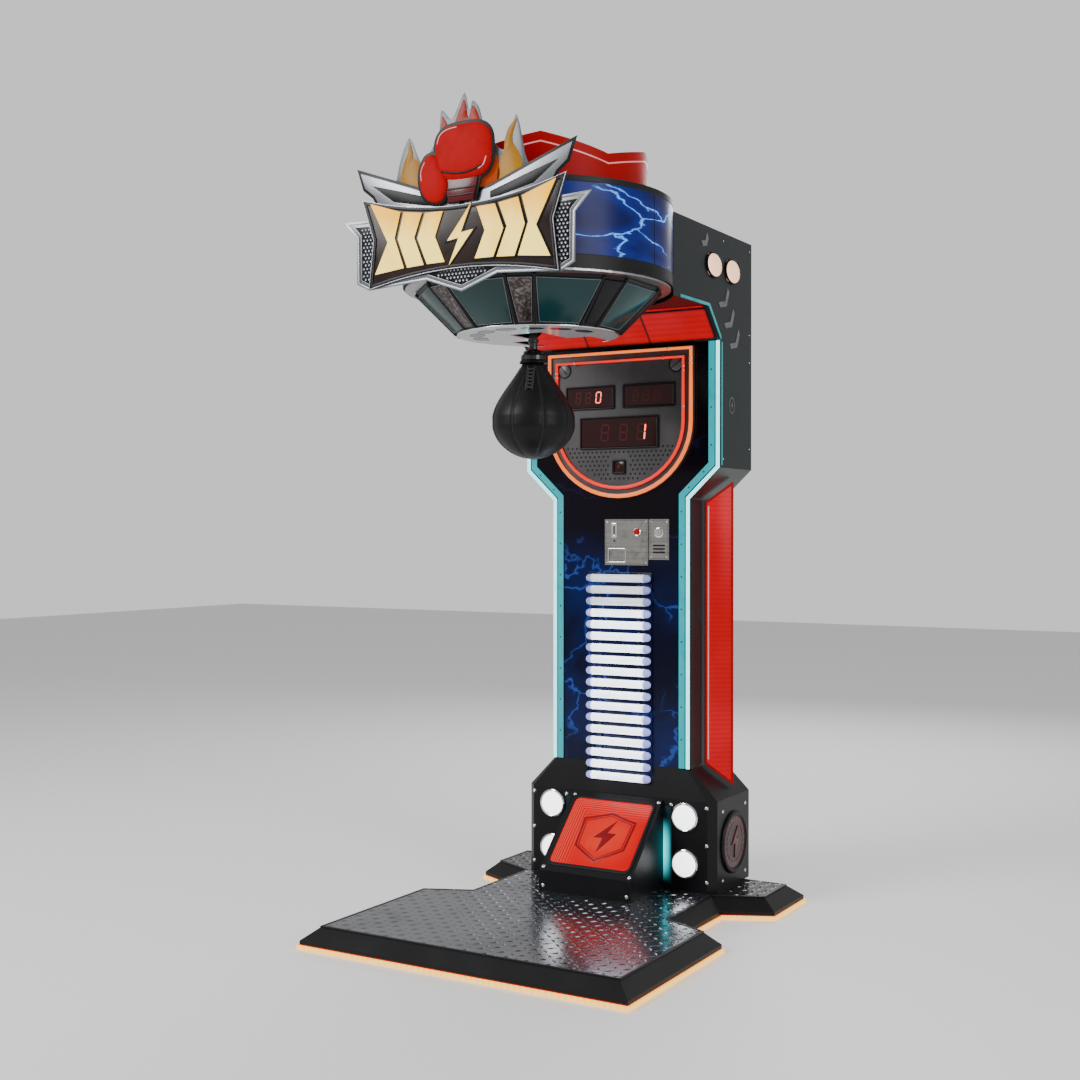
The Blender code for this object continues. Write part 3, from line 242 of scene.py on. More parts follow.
def lightningGroup():
    tree, given, out = newGroup(
        "lightningVeins",
        (
            ("Scale", "number", 5.0), ("Width", "number", 0.03), ("Cover", "number", 0.52),
            ("Stretch", "vector", (1, 1, 1)),
        ),
        (("Mask", "number"), ("Haze", "number")),
    )
    place = mapped(tree, objectPlace(tree), given["Stretch"])
    bend = tree.nodes.new("ShaderNodeTexNoise")
    tree.links.new(place, bend.inputs["Vector"])
    bend.inputs["Scale"].default_value = 9.0
    bend.inputs["Detail"].default_value = 6.0
    bent = tree.nodes.new("ShaderNodeVectorMath")
    bent.operation = "MULTIPLY_ADD"
    tree.links.new(bend.outputs["Color"], bent.inputs[0])
    bent.inputs[1].default_value = (0.16, 0.16, 0.16)
    tree.links.new(place, bent.inputs[2])
    cells = tree.nodes.new("ShaderNodeTexVoronoi")
    cells.feature = "DISTANCE_TO_EDGE"
    tree.links.new(bent.outputs[0], cells.inputs["Vector"])
    tree.links.new(given["Scale"], cells.inputs["Scale"])
    away = cells.outputs["Distance"]
    cover = noised(tree, place, 3.2, 2.0)
    kept = ramped(tree, cover, given["Cover"], sums(tree, "ADD", given["Cover"], 0.12))
    bolt = ramped(tree, away, given["Width"], 0.0)
    haze = ramped(tree, away, sums(tree, "MULTIPLY", given["Width"], 9.0), 0.0)
    tree.links.new(sums(tree, "MULTIPLY", bolt, kept), out["Mask"])
    tree.links.new(sums(tree, "MULTIPLY", haze, kept), out["Haze"])
    return tree


surfaceVariation = surfaceGroup()
brushedGrain = brushedGroup()
lightningVeins = lightningGroup()


finish = {}


def newFinish(name):
    material = bpy.data.materials.new(name)
    material.use_nodes = True
    finish[name] = material
    return material.node_tree, material.node_tree.nodes["Principled BSDF"].inputs


def placeGroup(tree, group, **values):
    node = tree.nodes.new("ShaderNodeGroup")
    node.node_tree = group
    for label, value in values.items():
        wire(tree, value, node.inputs[label.replace("_", " ")])
    return node.outputs


def setShader(tree, shader, **values):
    for label, value in values.items():
        wire(tree, value, shader[label.replace("_", " ")])


def addBump(tree, shader, height, strength, distance):
    bump = tree.nodes.new("ShaderNodeBump")
    bump.inputs["Strength"].default_value = strength
    bump.inputs["Distance"].default_value = distance
    tree.links.new(height, bump.inputs["Height"])
    tree.links.new(bump.outputs["Normal"], shader["Normal"])


def coated(name, colour, worn, roughness, metallic=0.0, scale=6.0, amount=0.35, spread=0.18,
           grain=260.0, bump=0.12, coat=0.0, shine=0.5):
    tree, shader = newFinish(name)
    made = placeGroup(
        tree, surfaceVariation, Colour=(*colour, 1), Worn_Colour=(*worn, 1), Scale=scale,
        Amount=amount, Roughness=roughness, Spread=spread, Grain=grain,
    )
    setShader(
        tree, shader,
        Base_Color=made["Colour"],
        Roughness=made["Roughness"],
        Metallic=metallic,
        Specular_IOR_Level=shine,
        Coat_Weight=coat,
        Coat_Roughness=0.08,
    )
    addBump(tree, shader, made["Height"], bump, 0.0006)


def brushed(name, colour, roughness, stretch):
    tree, shader = newFinish(name)
    made = placeGroup(tree, brushedGrain, Stretch=stretch, Colour=(*colour, 1), Roughness=roughness)
    setShader(
        tree, shader,
        Base_Color=made["Colour"],
        Roughness=made["Roughness"],
        Metallic=1.0,
    )
    addBump(tree, shader, made["Height"], 0.15, 0.0003)


def lit(name, bright, dim, strength, scale=9.0, roughness=0.25):
    tree, shader = newFinish(name)
    made = placeGroup(
        tree, surfaceVariation, Colour=(*bright, 1), Worn_Colour=(*dim, 1), Scale=scale,
        Amount=0.7, Roughness=roughness, Spread=0.1, Grain=180.0,
    )
    setShader(
        tree, shader,
        Base_Color=blended(tree, 0.75, made["Colour"], (0, 0, 0, 1)),
        Emission_Color=made["Colour"],
        Roughness=made["Roughness"],
        Emission_Strength=strength,
        Specular_IOR_Level=0.3,
    )


coated(
    "blackPaint", (0.004, 0.004, 0.005), (0.010, 0.010, 0.012), roughness=0.38, scale=4.0, amount=0.4,
    spread=0.2, grain=420.0, bump=0.15, shine=0.2,
)
coated(
    "edgePaint", (0.005, 0.005, 0.006), (0.014, 0.014, 0.016), roughness=0.42, scale=7.0, amount=0.5,
    spread=0.22, grain=420.0, bump=0.15, shine=0.2,
)
coated(
    "greyPaint", (0.09, 0.092, 0.1), (0.15, 0.15, 0.16), roughness=0.35, metallic=0.3, amount=0.4, spread=0.2,
    grain=300.0, shine=0.4,
)
coated(
    "boardPaint", (0.05, 0.047, 0.05), (0.085, 0.08, 0.08), roughness=0.42, metallic=0.5, scale=12.0,
    amount=0.5, spread=0.2, grain=520.0, bump=0.3,
)
coated(
    "zincSteel", (0.42, 0.43, 0.44), (0.3, 0.3, 0.29), roughness=0.36, metallic=1.0, scale=18.0, amount=0.5,
    spread=0.2, grain=200.0, bump=0.1,
)
coated(
    "chrome", (0.78, 0.79, 0.81), (0.6, 0.6, 0.62), roughness=0.12, metallic=1.0, scale=20.0, amount=0.3,
    spread=0.1, grain=200.0, bump=0.03,
)
coated(
    "rubber", (0.015, 0.015, 0.015), (0.04, 0.04, 0.04), roughness=0.75, scale=30.0, amount=0.5, spread=0.2,
    grain=380.0, bump=0.3,
)
coated(
    "greyPlastic", (0.06, 0.06, 0.065), (0.1, 0.1, 0.1), roughness=0.55, scale=20.0, amount=0.4, spread=0.15,
    grain=480.0, bump=0.3,
)
coated(
    "redGloss", (0.40, 0.001, 0.003), (0.28, 0.001, 0.002), roughness=0.45, scale=7.0, amount=0.5,
    spread=0.12, grain=160.0, bump=0.04, shine=0.1,
)
coated(
    "rustRed", (0.13, 0.014, 0.012), (0.07, 0.008, 0.008), roughness=0.34, metallic=0.3, scale=20.0,
    amount=0.6, spread=0.2, grain=240.0, bump=0.1,
)
coated(
    "redDark", (0.10, 0.001, 0.002), (0.06, 0.001, 0.002), roughness=0.26, scale=7.0, amount=0.5, spread=0.12,
    grain=160.0, bump=0.04, coat=0.1, shine=0.3,
)
coated(
    "tealGloss", (0.003, 0.034, 0.036), (0.002, 0.018, 0.020), roughness=0.2, scale=5.0, amount=0.6,
    spread=0.12, grain=160.0, bump=0.05, shine=0.3,
)
coated(
    "palePlastic", (0.62, 0.64, 0.67), (0.45, 0.47, 0.5), roughness=0.22, metallic=0.2, scale=9.0, amount=0.4,
    spread=0.15, grain=200.0, bump=0.05, coat=0.4,
)
coated(
    "silver", (0.24, 0.25, 0.27), (0.15, 0.16, 0.18), roughness=0.34, metallic=0.85, scale=10.0, amount=0.5,
    spread=0.2, grain=240.0, bump=0.08,
)
coated(
    "signBrown", (0.012, 0.004, 0.003), (0.035, 0.013, 0.009), roughness=0.34, scale=14.0, amount=0.6,
    spread=0.2, grain=240.0, bump=0.1, shine=0.3,
)
coated(
    "windowRed", (0.022, 0.001, 0.001), (0.012, 0.001, 0.001), roughness=0.16, scale=9.0, amount=0.4,
    spread=0.08, grain=200.0, bump=0.02, coat=0.1, shine=0.3,
)
brushed("stainless", (0.30, 0.285, 0.27), 0.3, (4.0, 4.0, 420.0))
lit("cyanLens", (0.02, 0.50, 0.56), (0.01, 0.38, 0.44), strength=0.8, scale=16.0)
lit("iceLens", (0.32, 0.95, 1.0), (0.22, 0.85, 0.95), strength=2.4, scale=16.0)
lit("neonOrange", (1.0, 0.20, 0.03), (1.0, 0.13, 0.02), strength=1.5, scale=14.0)
lit("neonRed", (1.0, 0.03, 0.012), (1.0, 0.02, 0.01), strength=1.1, scale=14.0)
lit("digitLit", (1.0, 0.10, 0.05), (1.0, 0.07, 0.04), strength=4.0, scale=30.0)
lit("digitDim", (0.16, 0.006, 0.006), (0.10, 0.004, 0.004), strength=0.16, scale=30.0)
lit("pinkLine", (1.0, 0.34, 0.36), (0.9, 0.24, 0.26), strength=0.8, scale=20.0)
print("shared finishes built:", len(finish))


# geometry helpers: each one adds to a bmesh, with a material index
planes = {
    "up": Matrix.Identity(4),
    "front": Matrix(((1, 0, 0, 0), (0, 0, 1, 0), (0, 1, 0, 0), (0, 0, 0, 1))),
    "side": Matrix(((0, 0, 1, 0), (1, 0, 0, 0), (0, 1, 0, 0), (0, 0, 0, 1))),
}


def inset(outline, distance):
    count = len(outline)
    moved = []
    for i in range(count):
        before, here, after = (Vector(outline[k % count]) for k in (i - 1, i, i + 1))
        first = (here - before).normalized()
        second = (after - here).normalized()
        normal = Vector((-first.y, first.x))
        mitre = (normal + Vector((-second.y, second.x))).normalized()
        moved.append(tuple(here + mitre * (distance / max(0.3, mitre.dot(normal)))))
    return moved


def mirrored(rightHalf):
    return list(rightHalf) + [(-x, y) for x, y in reversed(rightHalf) if abs(x) > 1e-6]


def evenTurns(steps):
    return [2 * math.pi * i / steps for i in range(steps)]


def oval(halfWidth, halfHeight, centre=(0, 0), steps=32):
    x, y = centre
    return [(x + halfWidth * math.cos(a), y + halfHeight * math.sin(a)) for a in evenTurns(steps)]


def roundedBox(left, right, low, high, radius, steps=5):
    outline = []
    for x, y, start in ((right, low, -90), (right, high, 0), (left, high, 90), (left, low, 180)):
        cornerX = x - radius if x == right else x + radius
        cornerY = y - radius if y == high else y + radius
        for k in range(steps + 1):
            angle = math.radians(start + 90 * k / steps)
            outline.append((cornerX + radius * math.cos(angle), cornerY + radius * math.sin(angle)))
    return outline


def plate(x, y, halfWidth, halfHeight, radius, steps=5):
    return roundedBox(x - halfWidth, x + halfWidth, y - halfHeight, y + halfHeight, radius, steps)


def boltOutline(size, centre):
    # a plain zigzag flash, as on any electrical sign
    shape = ((-0.1, -1), (0.62, 0.2), (0.12, 0.2), (0.42, 1), (-0.55, -0.12), (-0.04, -0.12))
    return [(centre[0] + size * u, centre[1] + size * v) for u, v in shape]


def insidePolygon(point, outline):
    x, y = point
    inside = False
    for (ax, ay), (bx, by) in zip(outline, outline[1:] + outline[:1]):
        if (ay > y) != (by > y) and x < ax + (bx - ax) * (y - ay) / (by - ay):
            inside = not inside
    return inside


def finishedFaces(bm, made, slot):
    bmesh.ops.recalc_face_normals(bm, faces=made)
    for face in made:
        face.material_index = slot
    return made


def bridged(bm, rings):
    # walls from each ring of points to the next one
    made = []
    for first, second in zip(rings, rings[1:]):
        for i in range(len(first)):
            j = (i + 1) % len(first)
            made.append(bm.faces.new((first[i], first[j], second[j], second[i])))
    return made


def addPrism(bm, outline, near, far, plane="front", slot=0, turn=None):
    matrix = turn or planes[plane]
    rings = [[bm.verts.new(matrix @ Vector((u, v, w))) for u, v in outline] for w in (near, far)]
    ends = [bm.faces.new(ring) for ring in rings]
    return finishedFaces(bm, ends + bridged(bm, rings), slot)


def addRing(bm, outer, inner, near, far, plane="front", slot=0, turn=None):
    matrix = turn or planes[plane]
    rings = [
        [bm.verts.new(matrix @ Vector((u, v, w))) for u, v in outline]
        for outline, w in ((outer, near), (outer, far), (inner, far), (inner, near))
    ]
    return finishedFaces(bm, bridged(bm, rings + rings[:1]), slot)


def addLathe(bm, profile, matrix, steps=32, slot=0, slots=None):
    rings = []
    for radius, height in profile:
        if radius < 1e-6:
            rings.append([bm.verts.new(matrix @ Vector((0, 0, height)))])
            continue
        ring = []
        for a in evenTurns(steps):
            ring.append(bm.verts.new(matrix @ Vector((radius * math.cos(a), radius * math.sin(a), height))))
        rings.append(ring)
    made = []
    for k, (first, second) in enumerate(zip(rings, rings[1:])):
        for i in range(steps):
            j = (i + 1) % steps
            ends = (
                first[i % len(first)], first[j % len(first)], second[j % len(second)],
                second[i % len(second)],
            )
            corners = list(dict.fromkeys(ends))
            if len(corners) > 2:
                face = bm.faces.new(corners)
                face.material_index = slots[k] if slots else slot
                made.append(face)
    bmesh.ops.recalc_face_normals(bm, faces=made)
    return made


def addTube(bm, path, radius, sides=8):
    points = [Vector(point) for point in path]
    rings = []
    normal = None
    for i, point in enumerate(points):
        before = points[max(0, i - 1)]
        after = points[min(i + 1, len(points) - 1)]
        along = (after - before).normalized()
        if normal is None:
            normal = along.orthogonal().normalized()
        normal = (normal - along * normal.dot(along)).normalized()
        side = along.cross(normal)
        ring = []
        for a in evenTurns(sides):
            ring.append(bm.verts.new(point + (normal * math.cos(a) + side * math.sin(a)) * radius))
        rings.append(ring)
    made = bridged(bm, rings) + [bm.faces.new(rings[0]), bm.faces.new(rings[-1])]
    return finishedFaces(bm, made, 0)


def facing(place, direction):
    turn = Vector((0, 0, 1)).rotation_difference(Vector(direction).normalized())
    return Matrix.Translation(place) @ turn.to_matrix().to_4x4()


def framed(place, across, upward, outward):
    # a plane at this place, from its three directions
    return Matrix.Translation(place) @ Matrix((across, upward, outward)).transposed().to_4x4()


def applied(obj):
    bpy.context.view_layer.update()
    mesh = bpy.data.meshes.new_from_object(obj.evaluated_get(bpy.context.evaluated_depsgraph_get()))
    obj.modifiers.clear()
    obj.data = mesh


def bevelled(obj, width):
    modifier = obj.modifiers.new("edges", "BEVEL")
    modifier.width = width
    modifier.segments = 2
    modifier.limit_method = "ANGLE"
    modifier.angle_limit = math.radians(35)
    applied(obj)


def smoothed(obj, angle):
    obj.data.shade_smooth()
    obj.data.set_sharp_from_angle(angle=math.radians(angle))


def newPiece(name, bm, materials, body="cabinet", bevel=0.0, smooth=30, replaced=()):
    obj = meshObject(name, bm)
    for material in materials:
        obj.data.materials.append(finish[material])
    if bevel:
        bevelled(obj, bevel)
    if smooth:
        smoothed(obj, smooth)
    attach(obj, body)
    if replaced:
        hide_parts(*replaced)
    return obj


def scatterTree():
    tree = bpy.data.node_groups.new("scatterCopies", "GeometryNodeTree")
    tree.interface.new_socket("Geometry", in_out="INPUT", socket_type="NodeSocketGeometry")
    tree.interface.new_socket("Copy", in_out="INPUT", socket_type="NodeSocketObject")
    tree.interface.new_socket("Finish", in_out="INPUT", socket_type="NodeSocketMaterial")
    tree.interface.new_socket("Size Spread", in_out="INPUT", socket_type="NodeSocketFloat")
    tree.interface.new_socket("Geometry", in_out="OUTPUT", socket_type="NodeSocketGeometry")
    given = tree.nodes.new("NodeGroupInput").outputs
    info = tree.nodes.new("GeometryNodeObjectInfo")
    turn = tree.nodes.new("GeometryNodeInputNamedAttribute")
    turn.data_type = "FLOAT_VECTOR"
    turn.inputs["Name"].default_value = "turn"
    euler = tree.nodes.new("FunctionNodeEulerToRotation")
    random = tree.nodes.new("FunctionNodeRandomValue")
    random.data_type = "FLOAT"
    random.inputs["Seed"].default_value = 7
    low = tree.nodes.new("ShaderNodeMath")
    low.operation = "SUBTRACT"
    low.inputs[0].default_value = 1.0
    put = tree.nodes.new("GeometryNodeInstanceOnPoints")
    whole = tree.nodes.new("GeometryNodeRealizeInstances")
    paint = tree.nodes.new("GeometryNodeSetMaterial")
    out = tree.nodes.new("NodeGroupOutput")
    floats = [socket for socket in random.inputs if socket.type == "VALUE"]
    for first, second in (
        (given["Geometry"], put.inputs["Points"]),
        (given["Copy"], info.inputs["Object"]),
        (info.outputs["Geometry"], put.inputs["Instance"]),
        (turn.outputs["Attribute"], euler.inputs["Euler"]),
        (euler.outputs["Rotation"], put.inputs["Rotation"]),
        (given["Size Spread"], low.inputs[1]),
        (low.outputs[0], floats[0]),
        (random.outputs["Value"], put.inputs["Scale"]),
        (put.outputs["Instances"], whole.inputs["Geometry"]),
        (whole.outputs["Geometry"], paint.inputs["Geometry"]),
        (given["Finish"], paint.inputs["Material"]),
        (paint.outputs["Geometry"], out.inputs["Geometry"]),
    ):
        tree.links.new(first, second)
    floats[1].default_value = 1.0
    return tree


scatterCopies = scatterTree()


def scattered(name, copy, spots, material, body="cabinet", spread=0.0, smooth=30):
    mesh = bpy.data.meshes.new(name)
    mesh.from_pydata([place for place, turn in spots], [], [])
    attribute = mesh.attributes.new("turn", "FLOAT_VECTOR", "POINT")
    attribute.data.foreach_set("vector", [value for place, turn in spots for value in turn])
    obj = bpy.data.objects.new(name, mesh)
    bpy.context.scene.collection.objects.link(obj)
    modifier = obj.modifiers.new("copies", "NODES")
    modifier.node_group = scatterCopies
    values = {"Copy": copy, "Finish": finish[material], "Size Spread": spread}
    for item in scatterCopies.interface.items_tree:
        if item.in_out == "INPUT" and item.name in values:
            modifier[item.identifier] = values[item.name]
    applied(obj)
    smoothed(obj, smooth)
    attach(obj, body)


def copySource(name, build):
    bm = bmesh.new()
    build(bm)
    return meshObject(name, bm, linked=False)


def turnTo(direction, spin=0.0):
    turn = Vector((0, 0, 1)).rotation_difference(Vector(direction).normalized())
    return tuple((turn @ Quaternion((0, 0, 1), math.radians(spin))).to_euler())


def buildPanHead(bm):
    addLathe(bm, ((0, 0.45), (0.35, 0.44), (0.75, 0.3), (1, 0.06), (1, 0)), Matrix.Identity(4), 16)
    bmesh.ops.delete(bm, geom=[f for f in bm.faces if f.calc_center_median().length < 0.42], context="FACES")
    addLathe(bm, ((0.35, 0.44), (0.3, 0.2), (0, 0.2)), Matrix.Identity(4), 6)
    bmesh.ops.scale(bm, vec=(0.0062, 0.0062, 0.0062), verts=bm.verts)


def buildTread(bm):
    # one raised lens of the rolled floor pattern
    steps = 8
    ridgeHalf, half, reach, rise = 0.0135, 0.0175, 0.0046, 0.0019

    def arch(length, side, height):
        line = []
        for k in range(1, steps):
            bulge = math.sin(math.pi * k / steps)
            line.append(bm.verts.new((length * (2 * k / steps - 1), side * bulge, height * bulge)))
        return line

    top = arch(ridgeHalf, 0, rise)
    ends = [bm.verts.new((-half, 0, 0)), bm.verts.new((half, 0, 0))]
    for side in (-1, 1):
        chain = [ends[0], *arch(half, side * reach, 0), ends[1]]
        ridge = [ends[0], *top, ends[1]]
        for k in range(steps):
            bm.faces.new(list(dict.fromkeys((chain[k], chain[k + 1], ridge[k + 1], ridge[k]))))
    bmesh.ops.recalc_face_normals(bm, faces=bm.faces)


panHead = copySource("panHead", buildPanHead)
tread = copySource("tread", buildTread)
front = (0, -1, 0)
back = (0, 1, 0)


# platform: deck tread, red line and lit strip
platform = {
    "outline": (
        (0.527, -0.616), (0.527, -0.036), (0.381, 0.030), (0.381, 0.295), (0.527, 0.365), (0.527, 0.616),
    ),
    "deckInset": 0.0433,
    "deckTop": 0.0621,
    "pitch": 0.0330,
    "footprints": ((0.335, 0.34), (0.158, 0.115)),
    "redLine": (0.0135, 0.0155),
    "trim": (0.0588, 0.0632),
}


def ledFinish():
    tree, shader = newFinish("ledStrip")
    axes = splitAxes(tree, objectPlace(tree))
    across = sums(tree, "SINE", sums(tree, "MULTIPLY", sums(tree, "ADD", axes["X"], axes["Y"]), 330.0))
    dots = ramped(tree, across, -0.6, 0.6, 0.8, 1.0)
    made = placeGroup(
        tree, surfaceVariation, Colour=(1, 0.55, 0.14, 1), Worn_Colour=(1, 0.4, 0.07, 1), Scale=9.0,
    )
    setShader(
        tree, shader,
        Base_Color=made["Colour"],
        Emission_Color=blended(tree, dots, (1.0, 0.40, 0.04, 1), (1.0, 0.58, 0.10, 1)),
        Emission_Strength=sums(tree, "MULTIPLY", dots, 1.5),
        Roughness=made["Roughness"],
    )


def deckFinish():
    tree, shader = newFinish("deckMetal")
    place = objectPlace(tree)
    made = placeGroup(
        tree, surfaceVariation, Colour=(0.22, 0.225, 0.245, 1), Worn_Colour=(0.12, 0.125, 0.135, 1),
        Scale=7.0,
        Amount=0.7, Roughness=0.17, Spread=0.18, Grain=300.0,
    )
    # painted shade: from the pedestal's front line backwards the deck is painted near black, under and beside
    # the pedestal
    pedestalShade = ramped(tree, splitAxes(tree, place)["Y"], 0.325, 0.335, 0.0, 0.86)
    setShader(
        tree, shader,
        Base_Color=blended(tree, pedestalShade, made["Colour"], (0.045, 0.045, 0.05, 1)),
        Roughness=made["Roughness"],
        Metallic=0.95,
    )
    addBump(tree, shader, made["Height"], 0.12, 0.0005)


def buildPlatform():
    outline = mirrored(platform["outline"])
    ledFinish()
    deckFinish()
    deck = inset(outline, platform["deckInset"] + 0.006)
    spots = []
    pitch = platform["pitch"]
    for i in range(-17, 18):
        for j in range(-19, 20):
            place = (i * pitch, j * pitch)
            hidden = [abs(place[0]) < half and place[1] > start for half, start in platform["footprints"]]
            if insidePolygon(place, deck) and not any(hidden):
                turn = math.radians(45 if (i + j) % 2 else -45)
                spots.append(((*place, platform["deckTop"]), (0, 0, turn)))
    scattered("deckTread", tread, spots, "deckMetal")

    bm = bmesh.new()
    addRing(bm, inset(outline, -0.0008), inset(outline, 0.002), *platform["redLine"], "up")
    newPiece("redLine", bm, ["redGloss"], bevel=0.0006)
    bm = bmesh.new()
    deckEdge = inset(outline, platform["deckInset"] - 0.002)
    addRing(bm, deckEdge, inset(deckEdge, 0.009), *platform["trim"], "up")
    newPiece("deckTrim", bm, ["edgePaint"], bevel=0.0012)


buildPlatform()
print("platform finished")


# pedestal: lamps, medallions and screws
pedestal = {
    "lampX": 0.24,
    "lampHeights": (0.147, 0.294),
    "lampFront": 0.3305,
    "lampRadius": 0.040,
    "medallionY": 0.485,
    "medallionZ": 0.2,
    "side": 0.3398,
    "bezel": (
        (0.0385, 0.001), (0.0395, 0.0052), (0.042, 0.0062), (0.0455, 0.004), (0.047, -0.0035),
        (0.0385, -0.0035),
    ),
    "medallion": (
        (0, 0.0042), (0.081, 0.0042), (0.083, 0.0055), (0.085, 0.008), (0.09, 0.0092), (0.096, 0.008),
        (0.1, 0.004), (0.1, 0.0002), (0, 0.0002),
    ),
    "medallionLine": ((0.06, 0.004), (0.06, 0.0052), (0.0625, 0.0052), (0.0625, 0.004)),
    "screws": ((0.313, 0.095), (0.313, 0.328), (0.19, 0.328), (0.313, 0.21)),
    "sideScrews": ((0.40, 0.31), (0.58, 0.31), (0.40, 0.09), (0.58, 0.09)),
}


def lensFinish(name, colour, glow, strength, ribs):
    tree, shader = newFinish(name)
    made = placeGroup(
        tree, surfaceVariation, Colour=(*colour, 1), Worn_Colour=(*glow, 1), Scale=26.0,
        Amount=0.6, Roughness=0.2, Spread=0.1, Grain=ribs,
    )
    facingAway = tree.nodes.new("ShaderNodeLayerWeight")
    facingAway.inputs["Blend"].default_value = 0.35
    edge = blended(tree, facingAway.outputs["Facing"], (*colour, 1), (*glow, 1))
    setShader(
        tree, shader,
        Base_Color=made["Colour"],
        Emission_Color=edge,
        Emission_Strength=ramped(tree, facingAway.outputs["Facing"], 0.1, 0.95, strength, strength * 0.45),
        Roughness=made["Roughness"],
    )
    addBump(tree, shader, made["Height"], 0.1, 0.0004)


def lampProfile(radius, rise, ribs=5):
    profile = [(0, rise)]
    for k in range(1, ribs * 4 + 1):
        part = k / (ribs * 4)
        ripple = 0.0007 * abs(math.sin(math.pi * part * ribs))
        profile.append((radius * part, rise * math.sqrt(max(0, 1 - part ** 2.4)) + ripple))
    return profile


def medallionFinish():
    tree, shader = newFinish("medallionDisc")
    made = placeGroup(
        tree, surfaceVariation, Colour=(0.012, 0.004, 0.005, 1), Worn_Colour=(0.035, 0.008, 0.008, 1),
        Scale=18.0,
        Amount=0.8, Roughness=0.35, Spread=0.2, Grain=240.0,
    )
    moved = mapped(tree, objectPlace(tree), place=(0, -pedestal["medallionY"], -pedestal["medallionZ"]))
    axes = splitAxes(tree, moved)
    angle = sums(tree, "ARCTAN2", axes["Z"], axes["Y"])
    rays = ramped(tree, sums(tree, "SINE", sums(tree, "MULTIPLY", angle, 24.0)), 0.1, 0.4)
    squares = sums(tree, "ADD", sums(tree, "POWER", axes["Y"], 2.0), sums(tree, "POWER", axes["Z"], 2.0))
    beyond = ramped(tree, sums(tree, "SQRT", squares), 0.05, 0.056)
    mask = sums(tree, "MULTIPLY", rays, beyond)
    setShader(
        tree, shader,
        Base_Color=blended(tree, mask, made["Colour"], (0.13, 0.016, 0.014, 1)),
        Roughness=made["Roughness"],
    )
    addBump(tree, shader, mask, 0.3, 0.0006)


def buildPedestal():
    lensFinish("lampGlass", (1.0, 1.0, 1.0), (0.72, 0.84, 1.0), 3.2, 60.0)
    lensFinish("warmGlass", (1.0, 0.62, 0.4), (1.0, 0.50, 0.28), 1.5, 60.0)
    medallionFinish()
    bm = bmesh.new()
    rings = bmesh.new()
    for sign in (-1, 1):
        for height in pedestal["lampHeights"]:
            turn = facing((sign * pedestal["lampX"], pedestal["lampFront"], height), front)
            addLathe(bm, lampProfile(pedestal["lampRadius"] - 0.002, 0.007), turn, 48)
            rim = pedestal["bezel"]
            addLathe(rings, (*rim, rim[0]), turn, 48)
    newPiece("lampLenses", bm, ["lampGlass"], smooth=60)
    newPiece("lampBezels", rings, ["chrome"])

    for side, sign in (("Left", -1), ("Right", 1)):
        turn = facing((sign * pedestal["side"], pedestal["medallionY"], pedestal["medallionZ"]), (sign, 0, 0))
        bm = bmesh.new()
        addLathe(bm, pedestal["medallion"], turn, 72, slots=(1, 0, 0, 0, 0, 0, 0, 0))
        addLathe(bm, pedestal["medallionLine"], turn, 72, slot=2)
        x = sign * (pedestal["side"] + 0.004)
        bolt = boltOutline(0.05, (pedestal["medallionY"], pedestal["medallionZ"]))
        addPrism(bm, bolt, x, x + sign * 0.003, "side", 2)
        newPiece(
            "medallion" + side, bm, ["edgePaint", "medallionDisc", "rustRed"], bevel=0.0007,
            replaced=("side_medallion_" + side.lower(),),
        )

    spots = []
    for x, z in pedestal["screws"]:
        for sign in (-1, 1):
            spots.append(((sign * x, 0.3345, z), turnTo(front, 20 * sign)))
    for sign in (-1, 1):
        for y, z in pedestal["sideScrews"]:
            spots.append(((sign * 0.3395, y, z), turnTo((sign, 0, 0), 15)))
    scattered("pedestalScrews", panHead, spots, "chrome", spread=0.02)


buildPedestal()
print("pedestal finished")


# cash wedge: window with repeated reflections, frame and screws
wedge = {
    "frontY": 0.110,
    "frontZ": 0.1265,
    "tilt": 43.93,
    "start": 0.030,
    "end": 0.288,
    "windowHalf": 0.1435,
    "emblem": (0.012, 0.15),
    "crest": ((0, -0.1), (0.088, -0.045), (0.094, 0.062), (0.05, 0.074), (0, 0.09)),
}


def windowFinish():
    tree, shader = newFinish("mirrorWindow")
    cover = tree.nodes.new("ShaderNodeUVMap")
    cover.uv_map = "cover"
    axes = splitAxes(tree, cover.outputs["UV"])
    fromLeft = axes["X"]
    fromTop = sums(tree, "SUBTRACT", 1.0, axes["Y"])
    nearest = sums(tree, "MINIMUM", fromLeft, fromTop)
    repeats = sums(tree, "SINE", sums(tree, "MULTIPLY", sums(tree, "POWER", nearest, 0.62), 150.0))
    lines = sums(tree, "MULTIPLY", ramped(tree, repeats, 0.45, 0.95), ramped(tree, nearest, 0.34, 0.05))
    across = sums(tree, "SUBTRACT", axes["X"], 0.56)
    along = sums(tree, "SUBTRACT", axes["Y"], 0.44)
    squares = sums(tree, "ADD", sums(tree, "POWER", across, 2.0), sums(tree, "POWER", along, 2.0))
    away = sums(tree, "SQRT", squares)
    glow = ramped(tree, away, 0.5, 0.02)
    smoke = noised(tree, objectPlace(tree), 16.0, 4.0, 0.8)
    peach = sums(tree, "MULTIPLY", glow, ramped(tree, smoke, 0.3, 0.75, 0.5, 1.0))
    base = blended(tree, sums(tree, "MULTIPLY", peach, 0.7), (0.8, 0.001, 0.006, 1), (1.0, 0.10, 0.045, 1))
    colour = blended(tree, sums(tree, "MULTIPLY", lines, 0.8), base, (1.0, 0.22, 0.14, 1))
    setShader(
        tree, shader,
        Base_Color=blended(tree, 0.6, colour, (0.1, 0, 0, 1)),
        Emission_Color=colour,
        Emission_Strength=0.55,
        Roughness=0.15,
        Specular_IOR_Level=0.1,
    )


